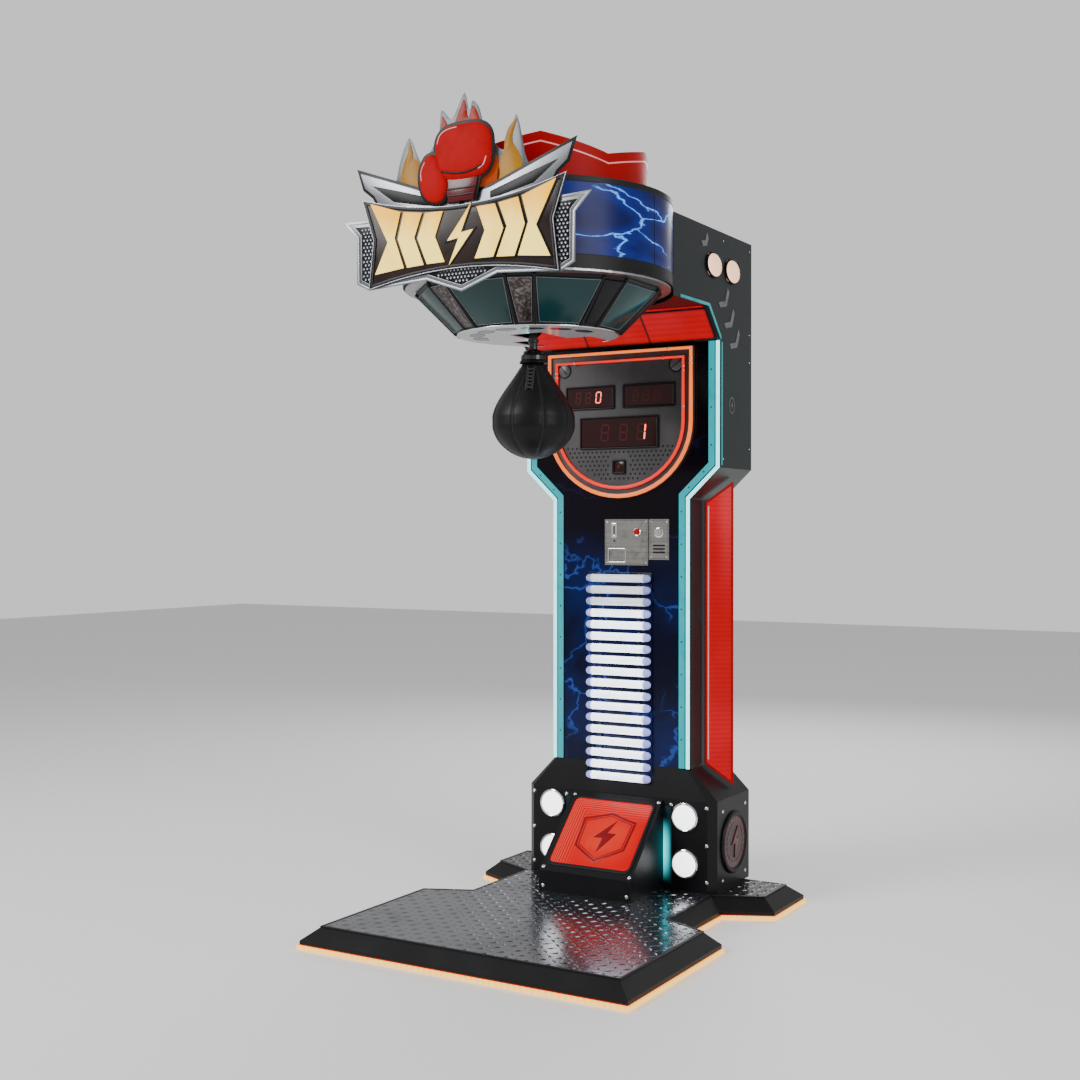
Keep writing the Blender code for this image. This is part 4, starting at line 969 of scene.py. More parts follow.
def buildWedge():
    windowFinish()
    tilt = Matrix.Rotation(math.radians(wedge["tilt"]), 4, "X")
    slope = Matrix.Translation((0, wedge["frontY"], wedge["frontZ"])) @ tilt
    half = wedge["windowHalf"]
    pane = roundedBox(-half, half, wedge["start"], wedge["end"], 0.0195, 8)
    bm = bmesh.new()
    addPrism(bm, pane, -0.006, -0.0006, turn=slope)
    layer = bm.loops.layers.uv.new("cover")
    flat = slope.inverted()
    for face in bm.faces:
        for loop in face.loops:
            local = flat @ loop.vert.co
            u = (local.x + half) / (2 * half)
            v = (local.y - wedge["start"]) / (wedge["end"] - wedge["start"])
            loop[layer].uv = (u, v)
    newPiece("windowPane", bm, ["mirrorWindow"], bevel=0.001, replaced=("wedge_window",))

    bm = bmesh.new()
    outer = roundedBox(-half - 0.007, half + 0.007, wedge["start"] - 0.007, wedge["end"] + 0.007, 0.025, 8)
    inner = roundedBox(-half + 0.003, half - 0.003, wedge["start"] + 0.003, wedge["end"] - 0.003, 0.017, 8)
    addRing(bm, outer, inner, -0.0004, 0.0026, turn=slope)
    newPiece("windowFrame", bm, ["edgePaint"], bevel=0.001)

    bm = bmesh.new()
    x, y = wedge["emblem"]
    crest = [(x + u, y + v) for u, v in mirrored(wedge["crest"])]
    addRing(bm, crest, inset(crest, 0.007), -0.0008, 0.0006, turn=slope)
    inner = inset(crest, 0.011)
    addRing(bm, inner, inset(inner, 0.0025), -0.0008, 0.0005, turn=slope)
    addPrism(bm, boltOutline(0.062, wedge["emblem"]), -0.0008, 0.0006, turn=slope)
    newPiece("windowEmblem", bm, ["emblemRed"], bevel=0.0003)

    outward = slope.to_3x3() @ Vector((0, 0, 1))
    spots = []
    for sign in (-1, 1):
        for along in (0.0135, 0.298):
            spots.append((tuple(slope @ Vector((sign * 0.152, along, 0))), turnTo(outward, 10)))
        spots.append(((sign * 0.148, 0.110, 0.078), turnTo(front)))
    scattered("wedgeScrews", panHead, spots, "chrome", spread=0.02)


# painted light: a soft cyan glow, brightest in the middle and fading to the edges, painted on thin plates on
# the pedestal front; it stands in for cyan light reflected from the lit strips and is no lamp
def paintedSpillFinish():
    tree, shader = newFinish("paintedCyanSpill")
    axes = splitAxes(tree, objectPlace(tree))
    made = placeGroup(
        tree, surfaceVariation, Colour=(0.03, 0.75, 0.85, 1), Worn_Colour=(0.02, 0.6, 0.7, 1), Scale=20.0,
    )
    across = ramped(tree, sums(tree, "ABSOLUTE", axes["X"]), 0.196, 0.164)
    along = ramped(tree, sums(tree, "ABSOLUTE", sums(tree, "SUBTRACT", axes["Z"], 0.185)), 0.105, 0.01)
    power = sums(tree, "MULTIPLY", sums(tree, "MULTIPLY", across, along), 2.2)
    setShader(
        tree, shader,
        Base_Color=blended(tree, 0.97, made["Colour"], (0, 0, 0, 1)),
        Emission_Color=made["Colour"],
        Emission_Strength=power,
        Roughness=made["Roughness"],
        Specular_IOR_Level=0.2,
    )


# two thin plates beside the wedge that carry the painted cyan glow
def buildPaintedSpillPlates():
    bm = bmesh.new()
    for side in (-1, 1):
        near, far = side * 0.1635, side * 0.1915
        shape = roundedBox(min(near, far), max(near, far), 0.078, 0.322, 0.004, 4)
        addPrism(bm, shape, 0.3333, 0.3344)
    newPiece("wedgeLights", bm, ["paintedCyanSpill"], bevel=0.0004)


paintedSpillFinish()
lit("emblemRed", (0.55, 0.002, 0.012), (0.42, 0.001, 0.008), strength=0.22, scale=40.0)
buildWedge()
buildPaintedSpillPlates()
print("wedge finished")


# column: glossy front, lit edge bars, side panels and the stack of tubes
column = {
    "halfWidth": 0.249,
    "upperHalfWidth": 0.351,
    "bottom": 0.4433,
    "flareStart": 1.2953,
    "flareEnd": 1.3927,
    "seam": 1.7887,
    "front": 0.3498,
    "bands": ((0.0015, 0.0135, "iceLens"), (0.0185, 0.0385, "cyanLens")),
}
tubes = {"count": 18, "half": 0.1168, "radius": 0.01475, "firstZ": 0.3998, "pitch": 0.03778, "y": 0.3505}


def edgePath(step, low=0.0, high=0.0):
    rise = column["flareEnd"] - column["flareStart"]
    run = column["upperHalfWidth"] - column["halfWidth"]
    lift = step * math.tan((math.pi / 2 - math.atan2(rise, run)) / 2)
    return [
        (column["halfWidth"] - step, column["bottom"] + low),
        (column["halfWidth"] - step, column["flareStart"] + lift),
        (column["upperHalfWidth"] - step, column["flareEnd"] + lift),
        (column["upperHalfWidth"] - step, column["seam"] - high),
    ]


def stormFinish(name, dark, haze, bolt, scale, cover, glow, roughness=0.14, stretch=(1, 1, 1), fade=None):
    tree, shader = newFinish(name)
    made = placeGroup(
        tree, surfaceVariation, Colour=(*dark, 1), Worn_Colour=(*haze, 1), Scale=3.2,
        Amount=0.9, Roughness=roughness, Spread=0.1, Grain=160.0,
    )
    veins = placeGroup(tree, lightningVeins, Scale=scale, Width=0.022, Cover=cover, Stretch=stretch)
    misty = blended(tree, sums(tree, "MULTIPLY", veins["Haze"], 0.5), made["Colour"], (*haze, 1))
    bright = blended(tree, veins["Mask"], misty, (*bolt, 1))
    if fade:
        height = ramped(tree, splitAxes(tree, objectPlace(tree))["Z"], *fade, 0.0, 0.93)
        bright = blended(tree, height, bright, (0.004, 0.002, 0.003, 1))
    setShader(
        tree, shader,
        Base_Color=bright,
        Emission_Color=bright,
        Emission_Strength=sums(tree, "MULTIPLY", veins["Mask"], glow),
        Roughness=made["Roughness"],
        Specular_IOR_Level=0.15,
    )


def glowPaneFinish():
    tree, shader = newFinish("glowPane")
    place = objectPlace(tree)
    phase = sums(tree, "MULTIPLY", splitAxes(tree, place)["Z"], 420.0)
    lines = ramped(tree, sums(tree, "SINE", phase), -0.6, 0.8)
    smoke = noised(tree, place, 3.0, 3.0)
    base = blended(tree, ramped(tree, smoke, 0.35, 0.7), (0.75, 0.001, 0.010, 1), (1.0, 0.008, 0.022, 1))
    colour = blended(tree, sums(tree, "MULTIPLY", lines, 0.2), base, (0.45, 0.0, 0.006, 1))
    setShader(
        tree, shader,
        Base_Color=blended(tree, 0.6, colour, (0.08, 0, 0, 1)),
        Emission_Color=colour,
        Emission_Strength=0.4,
        Roughness=0.25,
        Specular_IOR_Level=0.08,
    )
    addBump(tree, shader, lines, 0.2, 0.0004)


def buildEdgeBars():
    bars = bmesh.new()
    base = bmesh.new()
    spots = []
    for sign in (-1, 1):
        for slot, (near, far, name) in enumerate(column["bands"]):
            shape = edgePath(near) + edgePath(far)[::-1]
            addPrism(
                bars, [(sign * x, z) for x, z in shape], column["front"] - 0.003, column["front"] + 0.0052,
                slot=slot,
            )
        shape = edgePath(0.0) + edgePath(0.04)[::-1]
        addPrism(base, [(sign * x, z) for x, z in shape], column["front"] + 0.0008, column["front"] + 0.0062)
        path = [Vector(point) for point in edgePath(0.0285, 0.04, 0.03)]
        for first, second in zip(path, path[1:]):
            count = max(2, round((second - first).length / 0.105))
            for k in range(count):
                place = first.lerp(second, (k + 0.5) / count)
                spots.append(((sign * place.x, column["front"] - 0.0029, place.y), turnTo(front, 30)))
    newPiece("edgeBars", bars, [name for near, far, name in column["bands"]], bevel=0.0012,
             replaced=("edge_strip_left", "edge_strip_right"))
    newPiece("edgeBarBase", base, ["blackPaint"], bevel=0.0005)
    scattered("edgeBarScrews", smallScrew, spots, "blackPaint")


def buildGlowPanels():
    inner, outer = Vector((0.2525, 0.447)), Vector((0.328, 0.515))
    for side, sign in (("Left", -1), ("Right", 1)):
        along = Vector((sign * (outer.x - inner.x), outer.y - inner.y, 0)).normalized()
        outward = Vector((sign * along.y, -abs(along.x), 0))
        turn = framed((sign * inner.x, inner.y, 0), along, (0, 0, 1), outward)
        width = (outer - inner).length
        shape = [(0.003, 0.449), (width - 0.003, 0.376), (width - 0.003, 1.354), (0.003, 1.286)]
        bm = bmesh.new()
        addPrism(bm, inset(shape, 0.006), -0.002, 0.0016, turn=turn, slot=0)
        addRing(bm, shape, inset(shape, 0.0065), -0.002, 0.0032, turn=turn, slot=1)
        addPrism(
            bm, [(0.0125, 0.462), (0.0165, 0.462), (0.0165, 1.275), (0.0125, 1.275)], 0.0014, 0.0034,
            turn=turn, slot=2,
        )
        newPiece("glowPanel" + side, bm, ["glowPane", "redGloss", "pinkLine"], bevel=0.0006,
                 replaced=("side_glow_panel_" + side.lower(),))


def tubeFinish():
    tree, shader = newFinish("tubeGlass")
    axes = splitAxes(tree, objectPlace(tree))
    ends = ramped(tree, sums(tree, "ABSOLUTE", axes["X"]), 0.088, 0.101)
    dim = ramped(tree, axes["Z"], 0.93, 0.965, 1.0, 0.26)
    patches = noised(tree, objectPlace(tree), 22.0, 2.0)
    colour = blended(tree, ends, (0.86, 0.92, 1.0, 1), (0.30, 0.34, 0.86, 1))
    power = sums(tree, "MULTIPLY", ramped(tree, ends, 0.0, 1.0, 3.0, 0.85), dim)
    setShader(
        tree, shader,
        Base_Color=blended(tree, 0.5, colour, (0.3, 0.3, 0.36, 1)),
        Emission_Color=colour,
        Emission_Strength=sums(tree, "MULTIPLY", power, ramped(tree, patches, 0.2, 0.8, 0.85, 1.1)),
        Roughness=0.16,
    )


def buildTubes():
    glass = bmesh.new()
    clips = bmesh.new()
    for i in range(tubes["count"]):
        z = tubes["firstZ"] + i * tubes["pitch"]
        radius = tubes["radius"] * 0.84
        half = tubes["half"]
        profile = [(0, -half)]
        for k in range(1, 6):
            angle = math.pi / 2 * k / 5
            profile.append((radius * math.sin(angle), -half + radius * (1 - math.cos(angle))))
        for x in (-0.099, -0.0985, -0.0895, -0.089, 0.089, 0.0895, 0.0985, 0.099):
            proud = 0.0006 if abs(x) in (0.0985, 0.0895) else 0
            profile.append((radius + proud, x))
        profile += [(r, -h) for r, h in profile[5:0:-1]] + [(0, half)]
        turn = Matrix.Translation((0, tubes["y"] - 0.0135, z)) @ Matrix.Rotation(math.radians(90), 4, "Y")
        addLathe(glass, profile, turn, 20)
        for x in (-0.07, 0.07):
            shape = roundedBox(x - 0.004, x + 0.004, z - 0.0155, z + 0.0155, 0.003, 3)
            addPrism(clips, shape, tubes["y"] - 0.009, tubes["y"] + 0.002)
    newPiece("lightTubes", glass, ["tubeGlass"], smooth=50, replaced=("light_tubes",))
    newPiece("tubeClips", clips, ["greyPlastic"], bevel=0.0006)
    bm = bmesh.new()
    tray = roundedBox(-0.1165, 0.1165, 0.386, 1.061, 0.004, 3)
    addPrism(bm, tray, 0.3506, 0.3527)
    newPiece("tubeTray", bm, ["stormPanel"], bevel=0.0004)


def buildSmallScrew(bm):
    addLathe(
        bm, ((0.0011, 0.0007), (0.0023, 0.0009), (0.0027, 0.0004), (0.0027, -0.0002)), Matrix.Identity(4), 12,
    )
    addLathe(bm, ((0.0011, 0.0007), (0.0010, 0.0001), (0, 0.0001)), Matrix.Identity(4), 6)


smallScrew = copySource("smallScrew", buildSmallScrew)
stormFinish(
    "stormPanel", (0.001, 0.002, 0.014), (0.003, 0.010, 0.075), (0.02, 0.06, 0.30), 4.2, 0.46, 0.1,
    fade=(1.0, 1.24),
)
coated(
    "columnSide", (0.004, 0.007, 0.008), (0.008, 0.02, 0.023), roughness=0.34, scale=4.0, amount=0.5,
    spread=0.2, grain=420.0, bump=0.1, shine=0.25,
)
glowPaneFinish()
tubeFinish()
buildEdgeBars()
buildGlowPanels()
buildTubes()
print("column finished")


# coin unit: bezels, screws, engraved lines
coin = {
    "front": 0.3497,
    "slot": (-0.02, 1.197),
    "flap": (-0.0425, 0.0225, 1.0915, 1.1385),
    "flapHole": (-0.0388, 0.0188, 1.0955, 1.1355),
    "button": (0.062, 1.192),
    "buttonRim": ((0.0096, 0.0), (0.0096, 0.0034), (0.0118, 0.0040), (0.0142, 0.0016), (0.0142, 0.0)),
    "lock": (0.14, 1.19),
    "lockRim": ((0.0106, 0.0), (0.0106, 0.0022), (0.0135, 0.0026), (0.0165, 0.001), (0.0165, 0.0)),
    "borders": ((-0.0515, 0.0978, 1.0875, 1.2292), (0.1075, 0.1721, 1.1062, 1.2292)),
    "vents": (1.1265, 1.1375, 1.1485),
    "arrow": ((-0.0245, 1.160), (-0.0155, 1.160), (-0.02, 1.168)),
    "screws": (
        (-0.047, 1.092), (0.093, 1.092), (-0.047, 1.2247), (0.093, 1.2247), (0.112, 1.111), (0.1676, 1.111),
        (0.112, 1.2247), (0.1676, 1.2247),
    ),
}


def buildCoinUnit():
    y = coin["front"]
    bm = bmesh.new()
    outer = plate(*coin["slot"], 0.011, 0.023, 0.006, 4)
    inner = plate(*coin["slot"], 0.0024, 0.0155, 0.0018, 4)
    addRing(bm, outer, inner, y + 0.0002, y - 0.0028)
    outer = roundedBox(*coin["flap"], 0.004, 4)
    inner = roundedBox(*coin["flapHole"], 0.0012, 4)
    addRing(bm, outer, inner, y + 0.0002, y - 0.0018)
    newPiece("coinBezels", bm, ["chrome"], bevel=0.0006)

    bm = bmesh.new()
    for name in ("button", "lock"):
        x, z = coin[name]
        addLathe(bm, coin[name + "Rim"], facing((x, y, z), front), 36)
    newPiece("coinRings", bm, ["chrome"], smooth=40)

    bm = bmesh.new()
    for sides in coin["borders"]:
        border = roundedBox(*sides, 0.003, 3)
        addRing(bm, border, inset(border, 0.0012), y + 0.0001, y - 0.0005)
    newPiece("coinBorders", bm, ["greyPlastic"], smooth=0)

    bm = bmesh.new()
    for z in coin["vents"]:
        addPrism(bm, plate(coin["lock"][0], z, 0.022, 0.0026, 0.0025, 3), y + 0.0001, y - 0.0006)
    addPrism(bm, coin["arrow"], y + 0.0001, y - 0.0006)
    newPiece("coinMarks", bm, ["blackPaint"], smooth=0)

    spots = []
    for x, z in coin["screws"]:
        spots.append(((x, y, z), turnTo(front, 400 * x)))
    scattered("coinScrews", smallScrew, spots, "chrome")


buildCoinUnit()
print("coin unit finished")


# scoreboard: dimples, digits, slotted screws, sensor
board = {
    "halfWidth": 0.2635,
    "top": 1.778,
    "bend": 1.542,
    "bottom": 1.3005,
    "front": 0.3447,
    "windows": ((-0.190, -0.022, 1.596, 1.662), (0.020, 0.195, 1.596, 1.662), (-0.137, 0.137, 1.466, 1.560)),
    "digits": (
        (-0.148, 1.629, 0.034, " "), (-0.112, 1.629, 0.034, " "), (-0.074, 1.629, 0.034, "0"),
        (0.062, 1.629, 0.034, " "), (0.1, 1.629, 0.034, " "), (0.138, 1.629, 0.034, " "),
        (-0.05, 1.513, 0.05, " "), (0.018, 1.513, 0.05, " "), (0.082, 1.513, 0.05, "1"),
    ),
    "dimples": {"pitch": 0.0165, "top": 1.47, "margin": 0.014, "sensorMargin": 0.036},
    "slottedScrews": ((-0.203, 1.722), (0.203, 1.722)),
    "sensor": (0, 1.402, 0.0235),
}
# which bars of a digit are on, and where each bar runs
segments = {"0": "abcdef", "1": "bc", " ": ""}
digitBars = {
    "a": ((-1, 1), (1, 1)), "b": ((1, 1), (1, 0)), "c": ((1, 0), (1, -1)), "d": ((-1, -1), (1, -1)),
    "e": ((-1, 0), (-1, -1)), "f": ((-1, 1), (-1, 0)), "g": ((-1, 0), (1, 0)),
}


def boardOutline(step):
    half = board["halfWidth"] - step
    drop = board["bend"] - board["bottom"] - step
    right = [(0.0, board["bend"] - drop)]
    for k in range(1, 13):
        angle = math.radians(-90 + 90 * k / 12)
        right.append((half * math.cos(angle), board["bend"] + drop * math.sin(angle)))
    right.append((half, board["top"] - step))
    return mirrored(right)


def addDigit(bm, lit, centre, height, y, shown):
    width = height * 0.5
    bar = height * 0.105
    half = height / 2
    for name, ends in digitBars.items():
        points = [Vector((u * width / 2 + 0.10 * v * half, v * half)) for u, v in ends]
        along = (points[1] - points[0]).normalized()
        across = Vector((-along.y, along.x)) * bar / 2
        tip = along * bar / 2
        first, second = points[0] + along * bar * 0.62, points[1] - along * bar * 0.62
        shape = [first - tip, first - across, second - across, second + tip, second + across, first + across]
        on = name in segments[shown]
        if on == lit:
            addPrism(bm, [(centre[0] + p.x, centre[1] + p.y) for p in shape], y, y - 0.0005)


def buildScoreboard():
    y = board["front"]
    windowFront = y - 0.0043
    lit = bmesh.new()
    dim = bmesh.new()
    for x, z, height, shown in board["digits"]:
        addDigit(lit, True, (x, z), height, windowFront, shown)
        addDigit(dim, False, (x, z), height, windowFront, shown)
    newPiece("digitsLit", lit, ["digitLit"], smooth=0)
    newPiece("digitsDim", dim, ["digitDim"], smooth=0)

    bm = bmesh.new()
    for left, right, low, high in board["windows"]:
        outer = roundedBox(left - 0.006, right + 0.006, low - 0.006, high + 0.006, 0.005, 4)
        inner = roundedBox(left - 0.0006, right + 0.0006, low - 0.0006, high + 0.0006, 0.0012, 4)
        addRing(bm, outer, inner, y, y - 0.0052)
    newPiece("windowBezels", bm, ["blackPaint"], bevel=0.0008)

    outline = inset(boardOutline(0.0), 0.052)
    spots = []
    pitch, top, margin, sensorMargin = board["dimples"].values()
    for i in range(-16, 17):
        for j in range(-15, 12):
            place = (i * pitch + (0.5 * pitch if j % 2 else 0), 1.45 + j * pitch * 0.866)
            clear = all(
                not (left - margin < place[0] < right + margin and low - margin < place[1] < high + margin)
                for left, right, low, high in board["windows"]
            )
            clear = clear and max(abs(place[0]), abs(place[1] - board["sensor"][1])) > sensorMargin
            if place[1] < top and clear and insidePolygon(place, outline):
                spots.append(((place[0], y, place[1]), turnTo(front)))
    scattered("boardDimples", dimple, spots, "blackPaint", smooth=40)

    screws = bmesh.new()
    for x, z in board["slottedScrews"]:
        turn = facing((x, y, z), front) @ Matrix.Rotation(math.radians(35 if x > 0 else -50), 4, "Z")
        addLathe(screws, ((0.0, 0.0042), (0.0175, 0.0042), (0.02, 0.003), (0.0215, 0.0)), turn, 40, slot=0)
        addPrism(
            screws, roundedBox(-0.0185, 0.0185, -0.0017, 0.0017, 0.0008, 2), 0.003, 0.0046, turn=turn, slot=1,
        )
        addLathe(screws, ((0.0222, 0.0), (0.0222, 0.0022), (0.0248, 0.0022), (0.0255, 0.0)), turn, 40, slot=1)
    newPiece("slottedScrews", screws, ["greyPaint", "blackPaint"], bevel=0.0005)

    bm = bmesh.new()
    x, z, half = board["sensor"]
    addRing(
        bm, plate(x, z, half, half, 0.004, 3), plate(x, z, half - 0.006, half - 0.006, 0.003, 3), y,
        y - 0.006,
    )
    addPrism(bm, plate(x, z, half - 0.005, half - 0.005, 0.003, 3), y, y - 0.002, slot=1)
    addLathe(bm, lampProfile(0.006, 0.004, 2), facing((x, y - 0.002, z), front), 24, slot=2)
    newPiece("sensor", bm, ["blackPaint", "windowRed", "redDark"], bevel=0.0008)

    clips = bmesh.new()
    for step, radius in ((0.007, 0.0065), (0.034, 0.0055)):
        path = [Vector((px, 0, pz)) for px, pz in boardOutline(step)]
        centreY = y - 0.0003 - radius
        for i, k in ((12, 0.85), (14, 0.22), (14, 0.78), (13, 0.15)):
            for mirror in (-1, 1):
                first, second = path[i], path[(i + 1) % len(path)]
                place = first.lerp(second, k)
                place.x = mirror * abs(place.x)
                along = (second - first).normalized()
                along.x *= mirror if i != 13 else 1
                turn = facing((place.x, centreY, place.z), along)
                near, far = radius + 0.0003, radius + 0.001
                ring = ((near, -0.0014), (far, -0.0014), (far, 0.0014), (near, 0.0014), (near, -0.0014))
                addLathe(clips, ring, turn, 20)
    newPiece("neonClips", clips, ["zincSteel"])


def buildDimple(bm):
    profile = ((0, 0.0002), (0.0024, 0.0002), (0.0032, 0.0006), (0.0037, 0.0002), (0.0039, -0.0002))
    addLathe(bm, profile, Matrix.Identity(4), 14)


dimple = copySource("dimple", buildDimple)
buildScoreboard()
print("scoreboard finished")


# head: chevrons, oval lamps, trims and an underside whose red glow is a painted reflection
head = {
    "side": 0.351,
    "ovals": (0.2995, 0.4415),
    "ovalZ": 2.014,
    "chevrons": ((0.228, 2.090, 0.026), (0.372, 1.932, 0.044), (0.414, 1.872, 0.044), (0.456, 1.812, 0.044)),
    "badge": (0.442, 1.592),
    "panes": ((-0.335, -0.115), (-0.11, 0.11), (0.115, 0.335)),
    "underside": ((-0.02, 1.883), (0.2625, 1.883), (0.353, 1.7893)),
    "screws": ((0.585, 1.83), (0.585, 2.10), (0.585, 1.46), (0.585, 1.74), (0.375, 2.10), (0.375, 1.42)),
}


def buildHead():
    lenses = bmesh.new()
    bezels = bmesh.new()
    marks = bmesh.new()
    trims = bmesh.new()
    spots = []
    for sign in (-1, 1):
        x = sign * head["side"]
        for y in head["ovals"]:
            rings = [oval(0.0515 * s, 0.034 * s, (y, head["ovalZ"]), 40) for s in (1.0, 0.93, 0.8, 0.6, 0.35)]
            heights = (0.0046, 0.0062, 0.0072, 0.0078, 0.008)
            loops = []
            for ring, h in zip(rings, heights):
                loops.append([lenses.verts.new((x + sign * h, u, v)) for u, v in ring])
            made = finishedFaces(lenses, [lenses.faces.new(loops[-1])] + bridged(lenses, loops), 0)
            if sum(face.normal.x * sign for face in made) < 0:
                bmesh.ops.reverse_faces(lenses, faces=made)
            outer = oval(0.0575, 0.0400, (y, head["ovalZ"]), 40)
            addRing(bezels, outer, oval(0.0518, 0.0343, (y, head["ovalZ"]), 40), x, x + sign * 0.0058, "side")
        for y, z, reach in head["chevrons"]:
            along = Vector((0.6167, -0.7872))
            across = Vector((0.7872, 0.6167)) * reach
            centre = Vector((y, z))
            tip = along * reach * 0.5
            deep = along * 0.019
            shape = [centre - across, centre + tip, centre + across]
            shape += [centre + across + deep, centre + tip + deep, centre - across + deep]
            addPrism(marks, [tuple(p) for p in shape], x + sign * 0.0002, x + sign * 0.0012, "side")
        badge = oval(0.021, 0.026, head["badge"])
        addRing(marks, badge, inset(badge, 0.003), x + sign * 0.0001, x + sign * 0.0006, "side")
        addPrism(marks, boltOutline(0.014, head["badge"]), x + sign * 0.0001, x + sign * 0.0006, "side")
        shape = [
            (0.06, 1.8835), (0.2625, 1.8835), (0.3545, 1.790), (0.3545, 1.803), (0.268, 1.8925),
            (0.06, 1.8925),
        ]
        addPrism(trims, shape, x + sign * 0.0001, x + sign * 0.0022, "side")
        addPrism(
            trims, roundedBox(0.3585, 0.366, 1.40, 1.785, 0.003, 3), x + sign * 0.0001, x + sign * 0.002,
            "side",
        )
        for y, z in head["screws"]:
            spots.append(((x, y, z), turnTo((sign, 0, 0), 40)))
    newPiece("ovalLenses", lenses, ["warmGlass"], smooth=60)
    newPiece("ovalBezels", bezels, ["edgePaint"], bevel=0.0012)
    newPiece("headMarks", marks, ["markGrey"], smooth=0)
    newPiece("headTrims", trims, ["tealGlow"], bevel=0.0006)
    scattered("headScrews", smallScrew, spots, "chrome")

    # red panels under the head, in front of the board; their red is their own colour, their glow is painted
    # red reflected light, not a lamp
    bm = bmesh.new()
    top, low = head["underside"][1:]
    slope = Vector((0, low[0] - top[0], low[1] - top[1]))
    length = slope.length
    along = slope.normalized()
    down = Vector((0, along.z, -along.y)).normalized()
    if down.z > 0:
        down = -down
    turn = framed((0, *top), (1, 0, 0), along, down)
    for left, right in head["panes"]:
        pane = roundedBox(left, right, 0.008, length - 0.012, 0.006, 3)
        addPrism(bm, pane, 0.0003, 0.0032, turn=turn, slot=0)
        addRing(bm, inset(pane, -0.003), inset(pane, 0.001), 0.0003, 0.0044, turn=turn, slot=1)
    pane = [(-0.335, 0.235), (0.335, 0.235), (0.335, 0.257), (-0.335, 0.257)]
    addPrism(bm, pane, 1.8798, 1.8827, "up", slot=0)
    newPiece("undersidePanels", bm, ["glowPane", "redDark"], bevel=0.0008)


coated(
    "markGrey", (0.14, 0.145, 0.15), (0.06, 0.062, 0.066), roughness=0.4, scale=30.0, amount=0.6, spread=0.2,
    grain=300.0, bump=0.1, shine=0.2,
)
lit("tealGlow", (0.02, 0.50, 0.55), (0.01, 0.3, 0.34), strength=0.55, scale=8.0)
buildHead()
print("head finished")


# drum and crown
drum = {"y": -0.168, "radius": 0.3945, "low": 1.9, "high": 2.146, "joints": (-176, -4)}
crown = {
    "radius": 0.32, "wall": 0.004, "base": 2.1463, "top": 2.28, "dip": 0.045, "teeth": 5, "turn": -58,
    "steps": 200,
}


def buildDrum():
    centre = Matrix.Translation((0, drum["y"], 0))
    radius = drum["radius"]
    low, high = drum["low"], drum["high"]
    profile = (
        (radius - 0.004, low + 0.05), (radius - 0.004, low), (radius, low), (radius, low + 0.035),
        (radius - 0.0014, low + 0.0365), (radius - 0.0014, high - 0.0165), (radius, high - 0.015),
        (radius, high - 0.001),
        (radius - 0.001, high), (0.3235, high), (0.3235, high - 0.0015), (0.3165, high - 0.0015),
        (0.3165, high), (0, high),
    )
    slots = (1, 1, 1, 1, 0, 1, 1, 1, 1, 1, 1, 1, 1)
    bm = bmesh.new()
    addLathe(bm, profile, centre, 160, slots=slots)
    newPiece("drum", bm, ["stormDrum", "edgePaint"], smooth=30, replaced=("drum_shell",))

    bm = bmesh.new()
    strip = [(-0.0009, low + 0.037), (0.0009, low + 0.037), (0.0009, high - 0.018), (-0.0009, high - 0.018)]
    for angle in drum["joints"]:
        turn = math.radians(angle)
        out = Vector((math.cos(turn), math.sin(turn), 0))
        place = (out.x * (radius - 0.0012), drum["y"] + out.y * (radius - 0.0012), 0)
        side = (-out.y, out.x, 0)
        addPrism(bm, strip, 0, 0.0005, turn=framed(place, side, (0, 0, 1), out))
    newPiece("drumJoints", bm, ["blackPaint"], smooth=0)


def buildCrown():
    steps = crown["steps"]
    wall = crown["wall"]
    middle = Vector((0, drum["y"], 0))
    bm = bmesh.new()
    columns = []
    for i in range(steps):
        angle = 2 * math.pi * i / steps + math.radians(crown["turn"])
        wave = abs((i * crown["teeth"] / steps) % 1.0 - 0.5) * 2
        top = crown["top"] - crown["dip"] * (1 - wave)
        out = Vector((math.cos(angle), math.sin(angle), 0))
        column = []
        for step, z in (
            (0, crown["base"]), (0, top - 0.030), (0.0006, top - 0.0295), (0.0006, top - 0.0255),
            (0, top - 0.025), (0, top - 0.001), (-0.001, top), (-wall + 0.001, top), (-wall, top - 0.001),
            (-wall, crown["base"]),
        ):
            column.append(bm.verts.new(middle + out * (crown["radius"] + step) + Vector((0, 0, z))))
        columns.append(column)
    for first, second in zip(columns, columns[1:] + columns[:1]):
        for k in range(len(first)):
            m = (k + 1) % len(first)
            face = bm.faces.new((first[k], second[k], second[m], first[m]))
            face.material_index = 1 if k == 2 else 0
    bmesh.ops.recalc_face_normals(bm, faces=bm.faces)
    newPiece("crown", bm, ["redGloss", "pinkLine"], smooth=35, replaced=("crown_ring",))


stormFinish(
    "stormDrum", (
        0.003, 0.006, 0.075,
    ), (0.008, 0.03, 0.30), (0.10, 0.34, 0.95), 3.2, 0.46, 0.9, 0.3, (0.7, 0.7, 2.6)
)
buildDrum()
buildCrown()
print("drum and crown finished")


# skirt under the drum
skirt = {
    "y": -0.168,
    "low": 1.768,
    "high": 1.8908,
    "lowRadius": 0.237,
    "highRadius": 0.36,
    "facets": 16,
    "pillar": 13,
    "slots": ((-0.055, 0.055, -0.24, 0.006), (-0.135, 0.135, -0.095, 0.31)),
    "decals": (192, 218, 244, 270, 296, 322, 348),
    "decalRadius": 0.178,
    "rimRadius": 0.2355,
}


def skirtCorner(index, part, outward=0.0):
    angle = math.radians(22.5 + 45 * (index // 2) + skirt["pillar"] * (index % 2 - 0.5))
    radius = skirt["lowRadius"] + (skirt["highRadius"] - skirt["lowRadius"]) * part + outward
    height = skirt["low"] + (skirt["high"] - skirt["low"]) * part
    return Vector((radius * math.cos(angle), skirt["y"] + radius * math.sin(angle), height))


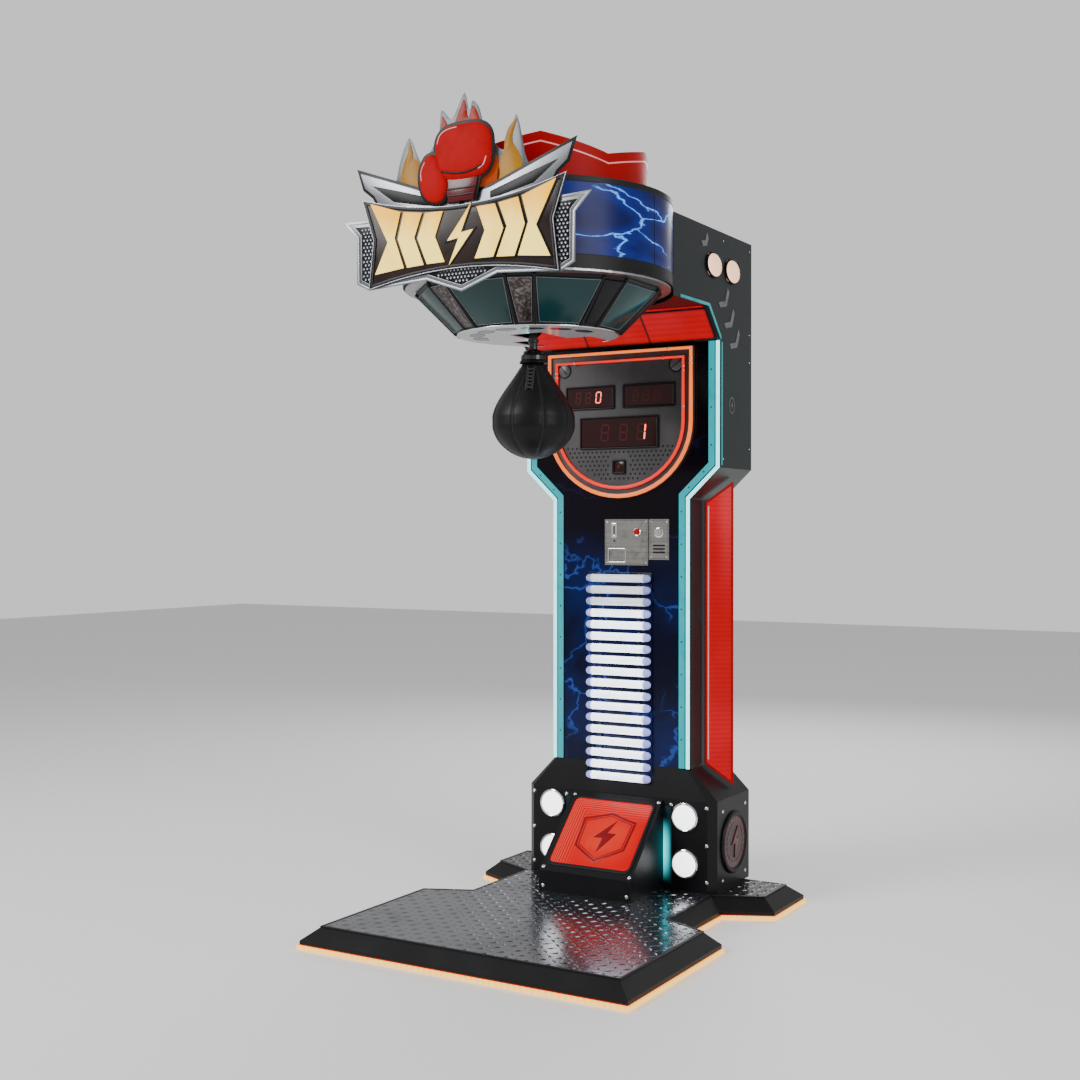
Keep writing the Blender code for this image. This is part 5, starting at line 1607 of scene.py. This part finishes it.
def cutSlots(obj):
    for left, right, near, far in skirt["slots"]:
        bm = bmesh.new()
        addPrism(bm, [(left, near), (right, near), (right, far), (left, far)], 1.70, 1.95, "up")
        tool = meshObject("slotCutter", bm)
        cut = obj.modifiers.new("slot", "BOOLEAN")
        cut.object = tool
        cut.solver = "EXACT"
        applied(obj)
        bpy.data.objects.remove(tool, do_unlink=True)


def buildSkirt():
    wall = bmesh.new()
    count = skirt["facets"]
    rings = []
    for part, outward in ((0, 0), (1, 0), (1, -0.0024), (0, -0.0024)):
        rings.append([wall.verts.new(skirtCorner(i, part, outward)) for i in range(count)])
    finishedFaces(wall, bridged(wall, rings + rings[:1]), 0)
    obj = meshObject("skirtWall", wall)
    obj.data.materials.append(finish["edgePaint"])
    cutSlots(obj)
    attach(obj, "cabinet")
    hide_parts("skirt_ring")

    panels = bmesh.new()
    ribs = bmesh.new()
    for i in range(count):
        j = (i + 1) % count
        corners = [skirtCorner(i, 0), skirtCorner(j, 0), skirtCorner(j, 1), skirtCorner(i, 1)]
        across = (corners[1] - corners[0]).normalized()
        middle = (corners[0] + corners[1]) / 2
        upward = ((corners[2] + corners[3]) / 2 - middle).normalized()
        outward = across.cross(upward).normalized()
        if outward.z > 0:
            outward = -outward
        if min(abs(corner.x) for corner in corners[:2]) < 0.139 and max(corners[0].y, corners[1].y) > -0.1:
            continue
        turn = framed(middle, across, upward, outward)
        height = ((corners[2] + corners[3]) / 2 - middle).length
        low = (corners[1] - corners[0]).length / 2
        high = (corners[2] - corners[3]).length / 2
        pillarSlot = 2 if corners[0].y < skirt["y"] - 0.15 else 1
        slot = 0 if i % 2 else pillarSlot
        side = 0.009
        panel = [
            (-low + side, 0.012), (low - side, 0.012), (high - side, height - 0.014),
            (-high + side, height - 0.014),
        ]
        addPrism(panels, panel, 0.0002, 0.0034, turn=turn, slot=slot)
        addRing(panels, inset(panel, -0.0014), panel, 0.0002, 0.0042, turn=turn, slot=3 if slot != 1 else 1)
    for i in range(count):
        foot = skirtCorner(i, 0)
        if abs(foot.x) < 0.14 and foot.y > -0.1:
            continue
        addTube(ribs, [skirtCorner(i, 0.01, 0.001), skirtCorner(i, 0.985, 0.001)], 0.0058)
    newPiece("skirtPanels", panels, ["tealGloss", "edgePaint", "speckledBronze", "silver"], bevel=0.0005)
    newPiece("skirtRibs", ribs, ["blackPaint"], bevel=0.001)


def buildSkirtDisc():
    bm = bmesh.new()
    reach = skirt["decalRadius"]
    for angle in skirt["decals"]:
        turn = math.radians(angle)
        place = Matrix.Translation((reach * math.cos(turn), skirt["y"] + reach * math.sin(turn), 0))
        place = place @ Matrix.Rotation(turn, 4, "Z")
        decal = oval(0.019, 0.030)
        addPrism(bm, decal, 1.7641, 1.7648, turn=place, slot=0)
        addRing(bm, oval(0.0225, 0.0335), oval(0.0198, 0.0308), 1.7639, 1.7648, turn=place, slot=1)
    newPiece("discDecals", bm, ["purpleGloss", "silver"], smooth=0)
    rim = bmesh.new()
    path = []
    reach = skirt["rimRadius"]
    for k in range(61):
        angle = math.radians(116 + 308 * k / 60)
        path.append((reach * math.cos(angle), skirt["y"] + reach * math.sin(angle), 1.7672))
    addTube(rim, path, 0.0024, 10)
    newPiece("discRim", rim, ["chrome"], smooth=60)


coated(
    "speckledBronze", (0.05, 0.038, 0.036), (0.26, 0.235, 0.23), roughness=0.3, metallic=0.9, scale=110.0,
    amount=0.8, spread=0.3, grain=300.0, bump=0.15,
)
coated(
    "purpleGloss", (0.025, 0.008, 0.05), (0.06, 0.02, 0.1), roughness=0.2, scale=12.0, amount=0.5, spread=0.1,
    grain=200.0, bump=0.03, coat=0.5,
)
buildSkirt()
buildSkirtDisc()
print("skirt finished")


# ball: gores, welts, stitches and lacing
ball = {
    "y": -0.195,
    "top": 1.692,
    "bottom": 1.403,
    "radius": 0.12,
    "gores": 8,
    "rows": 64,
    "neck": 0.028,
    "lace": {"start": 0.07, "reach": 0.26, "steps": 14, "half": 0.010, "crosses": 6},
    "cap": (
        (0.0205, 1.6935), (0.0355, 1.6915), (0.0395, 1.688), (0.0405, 1.683), (0.0370, 1.6845),
        (0.030, 1.690), (0.0205, 1.6915), (0.0205, 1.6935),
    ),
    "nuts": {"count": 6, "radius": 0.0265, "z": 1.7125},
    "armRings": (1.80, 1.748),
}


def ballRadius(part):
    turn = math.pi * min(0.9999, part) ** 1.5
    bulge = math.sin(turn) ** (0.72 if turn < math.pi / 2 else 0.52) if part > 0 else 0
    return min(ball["radius"], ball["radius"] * bulge + ball["neck"] * (1 - part) ** 3)


def ballPoint(part, angle, lift=0.0):
    step = 0.01
    length = ball["top"] - ball["bottom"]
    slope = (ballRadius(min(1, part + step)) - ballRadius(max(0, part - step))) / (2 * step * length)
    lean = math.hypot(1, slope)
    radius = ballRadius(part) + lift / lean
    z = ball["top"] - length * part + lift * slope / lean
    return Vector((radius * math.cos(angle), ball["y"] + radius * math.sin(angle), z))


def leatherFinish():
    tree, shader = newFinish("leather")
    place = objectPlace(tree)
    made = placeGroup(
        tree, surfaceVariation, Colour=(0.004, 0.004, 0.0045, 1), Worn_Colour=(0.011, 0.010, 0.010, 1),
        Scale=11.0,
        Amount=0.6, Roughness=0.42, Spread=0.2, Grain=320.0,
    )
    grain = tree.nodes.new("ShaderNodeTexVoronoi")
    tree.links.new(place, grain.inputs["Vector"])
    grain.inputs["Scale"].default_value = 420.0
    creases = noised(tree, mapped(tree, place, scale=(60.0, 60.0, 22.0)), 1.0, 5.0, 1.2)
    height = sums(
        tree, "ADD", sums(tree, "MULTIPLY", grain.outputs["Distance"], 0.6),
        sums(tree, "MULTIPLY", creases, 0.9),
    )
    setShader(
        tree, shader,
        Base_Color=made["Colour"],
        Roughness=made["Roughness"],
        Specular_IOR_Level=0.2,
    )
    addBump(tree, shader, height, 0.3, 0.0008)


def buildStitch(bm):
    addLathe(
        bm, ((0, -0.0026), (0.0005, -0.0023), (0.0006, 0), (0.0005, 0.0023), (0, 0.0026)), Matrix.Identity(4),
        6,
    )


def buildBall():
    gores = ball["gores"]
    around = gores * 18
    rows = ball["rows"]
    bm = bmesh.new()
    rings = []
    for row in range(1, rows):
        part = row / rows
        reach = ballRadius(part) / ball["radius"]
        ring = []
        for k in range(around):
            angle = 2 * math.pi * k / around
            near = abs((k / around * gores + 0.5) % 1.0 - 0.5) * 2
            puff = 0.0016 * reach * math.sin(math.pi / 2 * min(1, near))
            puff -= 0.0022 * reach * math.exp(-(near / 0.09) ** 2)
            sag = 0.0009 * math.sin(3 * angle + 9 * part) * math.sin(math.pi * part)
            ring.append(bm.verts.new(ballPoint(part, angle, puff + sag - 0.0009)))
        rings.append(ring)
    top = bm.verts.new((0, ball["y"], ball["top"]))
    low = bm.verts.new((0, ball["y"], ball["bottom"]))
    bridged(bm, rings)
    for k in range(around):
        m = (k + 1) % around
        bm.faces.new((top, rings[0][m], rings[0][k]))
        bm.faces.new((low, rings[-1][k], rings[-1][m]))
    bmesh.ops.recalc_face_normals(bm, faces=bm.faces)
    skin = newPiece("ballSkin", bm, ["leather"], "swing", smooth=70, replaced=("punch_ball",))

    bm = bmesh.new()
    spots = []
    for gore in range(gores):
        angle = 2 * math.pi * gore / gores
        path = [ballPoint(0.06 + 0.9 * k / 40, angle, -0.0024) for k in range(41)]
        addTube(bm, path, 0.0013, 6)
        for k in range(34):
            part = 0.09 + 0.84 * k / 33
            radius = max(0.02, ballRadius(part))
            for side in (-1, 1):
                turn = angle + side * 0.0042 / radius
                here = ballPoint(part, turn, 0.0004)
                spots.append((tuple(here), turnTo(ballPoint(part + 0.01, turn, 0.0004) - here)))
    newPiece("ballWelts", bm, ["rubber"], "swing", smooth=60)
    stitch = copySource("stitch", buildStitch)
    scattered("ballStitches", stitch, spots, "stitchThread", "swing", smooth=60)

    bm = bmesh.new()
    middle = -math.pi / 2 + math.pi / 8
    lace = ball["lace"]

    def beside(part, across, lift):
        return ballPoint(part, middle + across / max(0.03, ballRadius(part)), lift)

    for side in (-1, 1):
        path = []
        for k in range(lace["steps"] + 1):
            part = lace["start"] + lace["reach"] * k / lace["steps"]
            path.append(beside(part, side * lace["half"], 0.0014))
        addTube(bm, path, 0.0011, 6)
    for k in range(lace["crosses"]):
        part = 0.095 + 0.038 * k
        for side in (-1, 1):
            first = beside(part, side * 0.011, 0.0016)
            second = beside(part + 0.03, -side * 0.011, 0.0016)
            centre = ballPoint(part + 0.015, middle, 0.0034)
            rising = first.lerp(centre, 0.6) + (centre - first) * 0.1
            addTube(bm, [first, rising, centre, second.lerp(centre, 0.5), second], 0.0015)
    newPiece("ballLacing", bm, ["laceCord"], "swing", smooth=60)

    bm = bmesh.new()
    turn = Matrix.Translation((0, ball["y"], 0))
    addLathe(bm, ball["cap"], turn, 40)
    newPiece("ballCap", bm, ["leather"], "swing", smooth=50)
    bm = bmesh.new()
    nuts = ball["nuts"]
    for angle in evenTurns(nuts["count"]):
        place = (nuts["radius"] * math.cos(angle), ball["y"] + nuts["radius"] * math.sin(angle), nuts["z"])
        hexagon = facing(place, (math.cos(angle), math.sin(angle), 1.3))
        addLathe(bm, ((0, 0.0052), (0.0036, 0.0052), (0.0044, 0.0044), (0.0044, -0.003)), hexagon, 6)
        addLathe(bm, ((0.0046, 0.0008), (0.0066, 0.0008), (0.0066, -0.003)), hexagon, 18)
    for z in ball["armRings"]:
        ring = ((0.0122, z - 0.006), (0.0158, z - 0.005), (0.0158, z + 0.005), (0.0122, z + 0.006))
        addLathe(bm, (*ring, ring[0]), turn, 32)
    newPiece("armFittings", bm, ["darkSteel"], "swing", smooth=35)


coated(
    "darkSteel", (0.05, 0.05, 0.053), (0.09, 0.085, 0.08), roughness=0.3, metallic=0.9, scale=30.0,
    amount=0.5, spread=0.2, grain=300.0, bump=0.1,
)
leatherFinish()
coated(
    "stitchThread", (0.02, 0.019, 0.018), (0.01, 0.01, 0.01), roughness=0.7, scale=60.0, amount=0.5,
    spread=0.1, grain=900.0, bump=0.3,
)
coated(
    "laceCord", (0.03, 0.028, 0.026), (0.07, 0.065, 0.06), roughness=0.65, scale=80.0, amount=0.6, spread=0.1,
    grain=900.0, bump=0.4,
)
buildBall()
print("ball finished")


# sign: flames, blades, shield, lit banner and a boxing glove, each its own layer
sign = {
    "flames": (
        (-0.20, 2.11), (0.20, 2.11), (0.195, 2.19), (0.169, 2.295), (0.13, 2.205), (0.075, 2.26),
        (0.052, 2.33),
        (0.031, 2.351), (0.02, 2.325), (0.005, 2.376), (-0.035, 2.31), (-0.07, 2.339), (-0.08, 2.27),
        (-0.135, 2.205), (-0.177, 2.279), (-0.215, 2.19),
    ),
    "redFlame": (
        (-0.115, 2.12), (0.105, 2.12), (0.112, 2.185), (0.085, 2.225), (0.068, 2.26), (0.047, 2.318),
        (0.0315, 2.337),
        (0.018, 2.305), (0.0045, 2.358), (-0.022, 2.305), (-0.042, 2.285), (-0.066, 2.322), (-0.073, 2.262),
        (-0.105, 2.21),
    ),
    "leftFlame": (
        (-0.195, 2.12), (-0.12, 2.12), (-0.125, 2.175), (-0.139, 2.205), (-0.163, 2.222), (-0.166, 2.242),
        (-0.176, 2.266),
        (-0.181, 2.235), (-0.194, 2.212), (-0.203, 2.175),
    ),
    "rightFlame": (
        (0.112, 2.12), (0.186, 2.12), (0.187, 2.165), (0.174, 2.198), (0.158, 2.222), (0.158, 2.245),
        (0.171, 2.283),
        (0.146, 2.262), (0.134, 2.232), (0.131, 2.205), (0.118, 2.178),
    ),
    "wings": (
        (0.0, 2.03), (0.26, 2.06), (0.300, 2.125), (0.333, 2.150), (0.355, 2.2126), (0.22, 2.165),
        (0.0926, 2.120), (0.0, 2.10),
    ),
    "groove": ((0.09, 2.078), (0.225, 2.106), (0.302, 2.160), (0.216, 2.137), (0.09, 2.100)),
    "fist": (0.010, 2.2135, 0.0905, 0.0755),
    "thumb": (
        (-0.052, 2.094), (-0.040, 2.128), (-0.046, 2.160), (-0.060, 2.184), (-0.070, 2.206), (-0.090, 2.218),
        (-0.112, 2.210),
        (-0.127, 2.184), (-0.130, 2.150), (-0.122, 2.116), (-0.102, 2.093), (-0.074, 2.085),
    ),
    # the bolt and the shards are shares of half the banner's width and of its height
    "bolt": ((0.13, 1.12), (-0.14, 0.40), (-0.01, 0.44), (-0.12, -0.10), (0.15, 0.58), (0.01, 0.54)),
    "shards": (
        ((0.17, -0.02), (0.37, 0.0), (0.48, 0.52), (0.39, 1.0), (0.19, 1.02), (0.28, 0.52)),
        ((0.41, 0.0), (0.60, 0.02), (0.71, 0.54), (0.64, 1.0), (0.43, 1.0), (0.52, 0.54)),
        ((0.64, 0.03), (0.98, 0.06), (0.83, 0.50), (1.04, 1.05), (0.68, 1.0), (0.75, 0.56)),
    ),
    "shield": (
        (0.0, 1.84), (0.115, 1.88), (0.31, 1.868), (0.351, 1.888), (0.352, 2.0175), (0.4005, 2.067),
        (0.30, 2.062), (0.18, 2.09), (0.0, 2.07),
    ),
}


# the banner's two edges: where each ends, its height in the middle and how far it bends
bannerEdges = {"low": (0.307, 1.9026, -0.0356), "high": (0.33, 2.0727, 0.0493), "notch": (0.29, 2.005)}


def bannerEdge(name, x):
    half, middle, bend = bannerEdges[name]
    return middle + bend * (x / half) ** 2


def bannerOutline():
    edges = {}
    for name in ("low", "high"):
        half = bannerEdges[name][0]
        edges[name] = [(half * k / 8, bannerEdge(name, half * k / 8)) for k in range(9)]
    return mirrored(edges["low"] + [bannerEdges["notch"]] + edges["high"][::-1])


def splinePoint(before, here, after, beyond, t):
    # a smooth curve through the two middle points
    bend = (2 * before - 5 * here + 4 * after - beyond) * t ** 2
    twist = (3 * here - before - 3 * after + beyond) * t ** 3
    return 0.5 * ((2 * here) + (after - before) * t + bend + twist)


def curved(outline, steps=5):
    smooth = []
    count = len(outline)
    for i in range(count):
        points = [Vector(outline[(i + k) % count]) for k in (-1, 0, 1, 2)]
        for k in range(steps):
            t = k / steps
            straight = points[1].lerp(points[2], t)
            smooth.append(tuple(straight.lerp(splinePoint(*points, t), 0.7)))
    return smooth


def curvedPath(path, steps=8):
    points = [Vector(point) for point in (path[0], *path, path[-1])]
    smooth = []
    for i in range(len(path) - 1):
        smooth += [splinePoint(*points[i:i + 4], k / steps) for k in range(steps)]
    return smooth + [points[-1]]


def gradedFinish(name, low, high, bottom, top, strength, roughness=0.3):
    tree, shader = newFinish(name)
    place = objectPlace(tree)
    made = placeGroup(
        tree, surfaceVariation, Colour=(*bottom, 1), Worn_Colour=(*top, 1), Scale=16.0, Amount=0.3,
        Roughness=roughness,
    )
    wobble = sums(tree, "MULTIPLY", noised(tree, place, 26.0, 3.0), 0.05)
    height = ramped(tree, sums(tree, "ADD", splitAxes(tree, place)["Z"], wobble), low + 0.025, high + 0.025)
    colour = blended(tree, height, made["Colour"], (*top, 1))
    setShader(
        tree, shader,
        Base_Color=blended(tree, 0.3, colour, (0.02, 0.01, 0.0, 1)),
        Specular_IOR_Level=0.12,
        Emission_Color=colour,
        Roughness=made["Roughness"],
        Emission_Strength=strength,
    )


def buildFlames():
    bm = bmesh.new()
    addPrism(bm, curved(sign["flames"]), -0.5628, -0.5643, slot=0)
    for slot, name in ((1, "redFlame"), (2, "leftFlame"), (2, "rightFlame")):
        addPrism(bm, curved(sign[name]), -0.5642, -0.5656, slot=slot)
    newPiece("flames", bm, ["greyPaint", "flameRed", "flameGold"], bevel=0.0004, replaced=("sign_flames",))


def buildBlades():
    bm = bmesh.new()
    outline = mirrored(sign["wings"])
    addPrism(bm, outline, -0.5661, -0.5674, slot=0)
    right = inset(sign["wings"], 0.0085)
    for side in (-1, 1):
        addPrism(bm, [(side * x, z) for x, z in right], -0.5673, -0.5688, slot=1)
        addPrism(bm, [(side * x, z) for x, z in sign["groove"]], -0.5687, -0.5691, slot=0)
    newPiece("blades", bm, ["blackPaint", "silver"], bevel=0.0005, replaced=("sign_wings",))


def buildShield():
    bm = bmesh.new()
    outline = mirrored(sign["shield"])
    addPrism(bm, outline, -0.5694, -0.5708, slot=0)
    addRing(bm, outline, inset(outline, 0.007), -0.5707, -0.5724, slot=0)
    inner = inset(outline, 0.0145)
    addRing(bm, inner, inset(inner, 0.0018), -0.5707, -0.5716, slot=0)
    addPrism(bm, inset(outline, 0.0165), -0.5707, -0.5712, slot=1)
    newPiece("shield", bm, ["silver", "blackPaint"], bevel=0.0005, replaced=("sign_backplate",))
    spots = []
    mesh = inset(outline, 0.021)
    banner = bannerOutline()
    for i in range(-32, 33):
        for j in range(-16, 16):
            place = (i * 0.0115 + (0.00575 if j % 2 else 0), 1.96 + j * 0.00996)
            if insidePolygon(place, mesh) and not insidePolygon(place, banner):
                spots.append(((place[0], -0.5712, place[1]), turnTo(front)))
    scattered("shieldMesh", dimple, spots, "silver", smooth=40)


def buildBanner():
    outline = bannerOutline()
    bm = bmesh.new()
    addPrism(bm, outline, -0.5727, -0.5765, slot=0)
    addRing(bm, outline, inset(outline, 0.0028), -0.5764, -0.5787, slot=1)
    rim = inset(outline, 0.0028)
    addRing(bm, rim, inset(rim, 0.0085), -0.5764, -0.5787, slot=2)
    newPiece("banner", bm, ["signBrown", "silver", "blackPaint"], bevel=0.0006, replaced=("sign_banner",))

    faces = bmesh.new()
    backs = bmesh.new()

    def placed(points, side):
        spots = []
        for u, v in points:
            x = side * 0.288 * u
            low, high = bannerEdge("low", x), bannerEdge("high", x)
            spots.append((x, low + 0.024 + (high - low - 0.040) * v))
        return spots

    # a bolt between arrowheads
    shards = [placed(sign["bolt"], 1)]
    for side in (-1, 1):
        for points in sign["shards"]:
            shards.append(placed(points, side))
    for shape in shards:
        addPrism(backs, inset(shape, -0.0045), -0.5764, -0.5788)
        addPrism(faces, shape, -0.5787, -0.5815)
    newPiece("bannerBlocks", faces, ["faceGold"], bevel=0.001)
    newPiece("bannerBacks", backs, ["blackPaint"], bevel=0.0005)


def addPillow(bm, outline, back, rise):
    steps = 14
    middleX, middleZ = (sum(place) / len(outline) for place in zip(*outline))
    rings = []
    for k in range(steps):
        turn = math.pi / 2 * k / steps
        share = math.cos(turn) ** 0.75
        y = back - rise * math.sin(turn) ** 0.9
        ring = []
        for x, z in outline:
            ring.append(bm.verts.new((middleX + (x - middleX) * share, y, middleZ + (z - middleZ) * share)))
        rings.append(ring)
    ends = [bm.faces.new(rings[0]), bm.faces.new(rings[-1])]
    finishedFaces(bm, ends + bridged(bm, rings), 0)


def buildGlove():
    def squared(value, power):
        return math.copysign(abs(value) ** power, value)

    middleX, middleZ, halfWidth, halfHeight = sign["fist"]
    fistOutline = []
    for a in evenTurns(64):
        across = halfWidth * squared(math.cos(a), 0.66)
        upward = halfHeight * squared(math.sin(a), 0.62)
        fistOutline.append((across + middleX, upward + middleZ))
    thumbOutline = curved(sign["thumb"], 8)

    backing = bmesh.new()
    addPrism(backing, inset(fistOutline, -0.0085), -0.5728, -0.5752)
    addPrism(backing, inset(thumbOutline, -0.0080), -0.5728, -0.5792)
    newPiece("gloveOutline", backing, ["blackPaint"], bevel=0.0006)

    bm = bmesh.new()
    addPillow(bm, fistOutline, -0.5750, 0.0180)
    fist = newPiece("gloveFist", bm, ["gloveRed"], smooth=50, replaced=("sign_glove",))
    bm = bmesh.new()
    addPillow(bm, thumbOutline, -0.5790, 0.0135)
    thumb = newPiece("gloveThumb", bm, ["gloveRed"], smooth=50)

    bm = bmesh.new()
    addPrism(bm, [(-0.046, 2.082), (0.052, 2.082), (0.070, 2.146), (-0.058, 2.150)], -0.5729, -0.5765, slot=1)
    addPrism(bm, [(-0.037, 2.082), (0.043, 2.082), (0.058, 2.141), (-0.049, 2.144)], -0.5764, -0.5800, slot=0)
    for z in (2.098, 2.116):
        addPrism(bm, plate(0.004, z, 0.044, 0.0026, 0.0024, 3), -0.5798, -0.5812, slot=1)
    newPiece("gloveCuff", bm, ["redDark", "blackPaint"], bevel=0.0006)

    for name, material, radius, piece, paths in (
        ("gloveSeams", "blackPaint", 0.0026, fist, (
            [(-0.060, 2.168), (-0.02, 2.157), (0.030, 2.156), (0.076, 2.168)],
        )),
        ("gloveShines", "palePink", 0.0014, fist, (
            [(-0.070, 2.242), (-0.060, 2.266), (-0.036, 2.277), (-0.006, 2.280)],
            [(0.088, 2.190), (0.080, 2.170), (0.064, 2.160)],
        )),
        ("thumbShine", "palePink", 0.0012, thumb, (
            [(-0.119, 2.148), (-0.121, 2.172), (-0.109, 2.197)],
        )),
    ):
        bm = bmesh.new()
        for path in paths:
            places = []
            for x, z in curvedPath(path):
                hit, spot, normal, index = piece.ray_cast((x, -0.7, z), (0, 1, 0))
                if hit:
                    places.append((x, spot.y, z))
            if len(places) > 2:
                addTube(bm, places, radius)
        newPiece(name, bm, [material], smooth=60)


gradedFinish("flameRed", 2.22, 2.34, (0.50, 0.060, 0.006), (0.30, 0.002, 0.001), 0.2)
gradedFinish("flameGold", 2.12, 2.27, (0.46, 0.21, 0.002), (0.36, 0.15, 0.002), 0.2)
gradedFinish("faceGold", 1.975, 2.085, (1.0, 0.74, 0.16), (0.85, 0.40, 0.0), 1.7)
coated(
    "gloveRed", (0.42, 0.001, 0.003), (0.30, 0.001, 0.002), roughness=0.6, scale=16.0, amount=0.5, spread=0.1,
    grain=420.0, bump=0.1, shine=0.08,
)
lit("palePink", (1.0, 0.62, 0.6), (0.9, 0.5, 0.48), strength=0.7, scale=30.0)
buildFlames()
buildBlades()
buildShield()
buildBanner()
buildGlove()
print("sign finished")


# rear door, inlet and the finishes of the solids that stay as they are
rear = {
    "door": (-0.21, 0.21, 0.51, 1.23),
    "face": 0.6043,
    "louvreRows": (0.60, 1.08),
    "hinges": (0.62, 0.87, 1.12),
    "lock": (0.18, 0.87),
    "lockRim": ((0.0112, 0.0), (0.0112, 0.0024), (0.0145, 0.0028), (0.018, 0.001), (0.018, 0.0)),
    "inlet": (-0.235, 0.13),
    "pins": ((-0.2415, 0.1335), (-0.2285, 0.1335), (-0.235, 0.1262)),
    "screws": {
        (-0.268, -0.202): (0.6141, (0.107, 0.153)),
        (-0.32, 0.32): (0.601, (1.42, 1.60, 1.76, 1.83, 1.98, 2.10)),
        (-0.232, 0.232): (0.601, (0.48, 0.72, 0.96, 1.20)),
    },
}


def buildLouvre(bm):
    # a pressed vent: a raised lip over a slot
    steps = 8
    length, reach, drop = 0.05, 0.0045, 0.008
    for step in range(steps):
        corners = []
        for u in (step, step + 1):
            x = -length + 2 * length * u / steps
            bulge = math.sin(math.pi * u / steps) ** 0.35
            places = ((x, -drop / 2, reach * bulge), (x, drop / 2, 0.0002), (x, -drop / 2, -0.0004))
            corners.append([bm.verts.new(place) for place in places])
        (lip0, back0, root0), (lip1, back1, root1) = corners
        bm.faces.new((back0, lip0, lip1, back1))
        bm.faces.new((lip0, root0, root1, lip1))
    bmesh.ops.remove_doubles(bm, verts=bm.verts, dist=0.00001)
    bmesh.ops.recalc_face_normals(bm, faces=bm.faces)


def buildRear():
    louvre = copySource("louvre", buildLouvre)
    spots = []
    for start in rear["louvreRows"]:
        for k in range(5):
            for x in (-0.07, 0.07):
                spots.append(((x, rear["face"], start + k * 0.018), (math.radians(90), 0, math.radians(180))))
    scattered("doorLouvres", louvre, spots, "blackPaint", "rear_door_body", smooth=40)

    left, right, low, high = rear["door"]
    bm = bmesh.new()
    outer = roundedBox(left + 0.006, right - 0.006, low + 0.006, high - 0.006, 0.008, 4)
    addRing(bm, outer, inset(outer, 0.010), rear["face"] - 0.0002, rear["face"] + 0.0014)
    for z in rear["hinges"]:
        addTube(bm, [(-0.213, 0.6053, z - 0.04), (-0.213, 0.6053, z + 0.04)], 0.0052, 14)
    newPiece("doorTrim", bm, ["edgePaint"], "rear_door_body", bevel=0.0005)
    bm = bmesh.new()
    x, z = rear["lock"]
    addLathe(bm, rear["lockRim"], facing((x, rear["face"], z), back), 32)
    newPiece("doorLockRing", bm, ["chrome"], "rear_door_body", smooth=40)

    bm = bmesh.new()
    for x, z in rear["pins"]:
        addPrism(bm, plate(x, z, 0.001, 0.0026, 0.0004, 2), 0.6134, 0.6168)
    newPiece("inletPins", bm, ["chrome"], bevel=0.0003)
    bm = bmesh.new()
    outer = plate(*rear["inlet"], 0.04, 0.03, 0.006, 4)
    inner = plate(*rear["inlet"], 0.0254, 0.0154, 0.002, 4)
    addRing(bm, outer, inner, 0.6121, 0.6141)
    newPiece("inletPlate", bm, ["zincSteel"], bevel=0.0005)
    spots = []
    for columns, (y, heights) in rear["screws"].items():
        spots += [((x, y, z), turnTo(back, 30)) for x in columns for z in heights]
    scattered("rearScrews", smallScrew, spots, "chrome")


def paintNodes():
    choice = {
        "base_frame": "edgePaint", "base_led_strip": "ledStrip", "deck_plate": "deckMetal",
        "pedestal_shell": "blackPaint", "pedestal_lamps_left": "lampGlass",
        "pedestal_lamps_right": "lampGlass",
        "wedge_housing": "blackPaint", "cash_box": "zincSteel", "column_shell": "columnSide",
        "front_panel": "stormPanel",
        "coin_plate": "stainless", "lock_plate": "stainless", "reject_button": "redGloss",
        "return_flap": "stainless",
        "coin_lock": "chrome", "coin_validator": "greyPlastic", "scoreboard_plate": "boardPaint",
        "neon_outer": "neonOrange", "neon_inner": "neonRed", "display_left": "windowRed",
        "display_right": "windowRed",
        "display_lower": "windowRed", "rear_door": "blackPaint", "door_lock": "chrome",
        "control_box": "greyPlastic",
        "power_inlet": "greyPlastic", "head_shell": "columnSide", "oval_lamps_left": "warmGlass",
        "oval_lamps_right": "warmGlass", "skirt_disc": "palePlastic", "pivot_bracket": "zincSteel",
        "pivot_bearing_left": "chrome", "pivot_bearing_right": "chrome", "pivot_axle": "chrome",
        "swing_arm": "darkSteel", "stop_pad": "rubber", "latch_hook": "zincSteel",
        "solenoid_body": "greyPlastic",
        "solenoid_plunger": "chrome", "foot_front_left": "rubber", "foot_front_right": "rubber",
        "foot_rear_left": "rubber", "foot_rear_right": "rubber",
    }
    for name, material in choice.items():
        for slot in nodes[name].material_slots:
            slot.material = finish[material]


buildRear()
paintNodes()
print("rear and remaining solids finished")
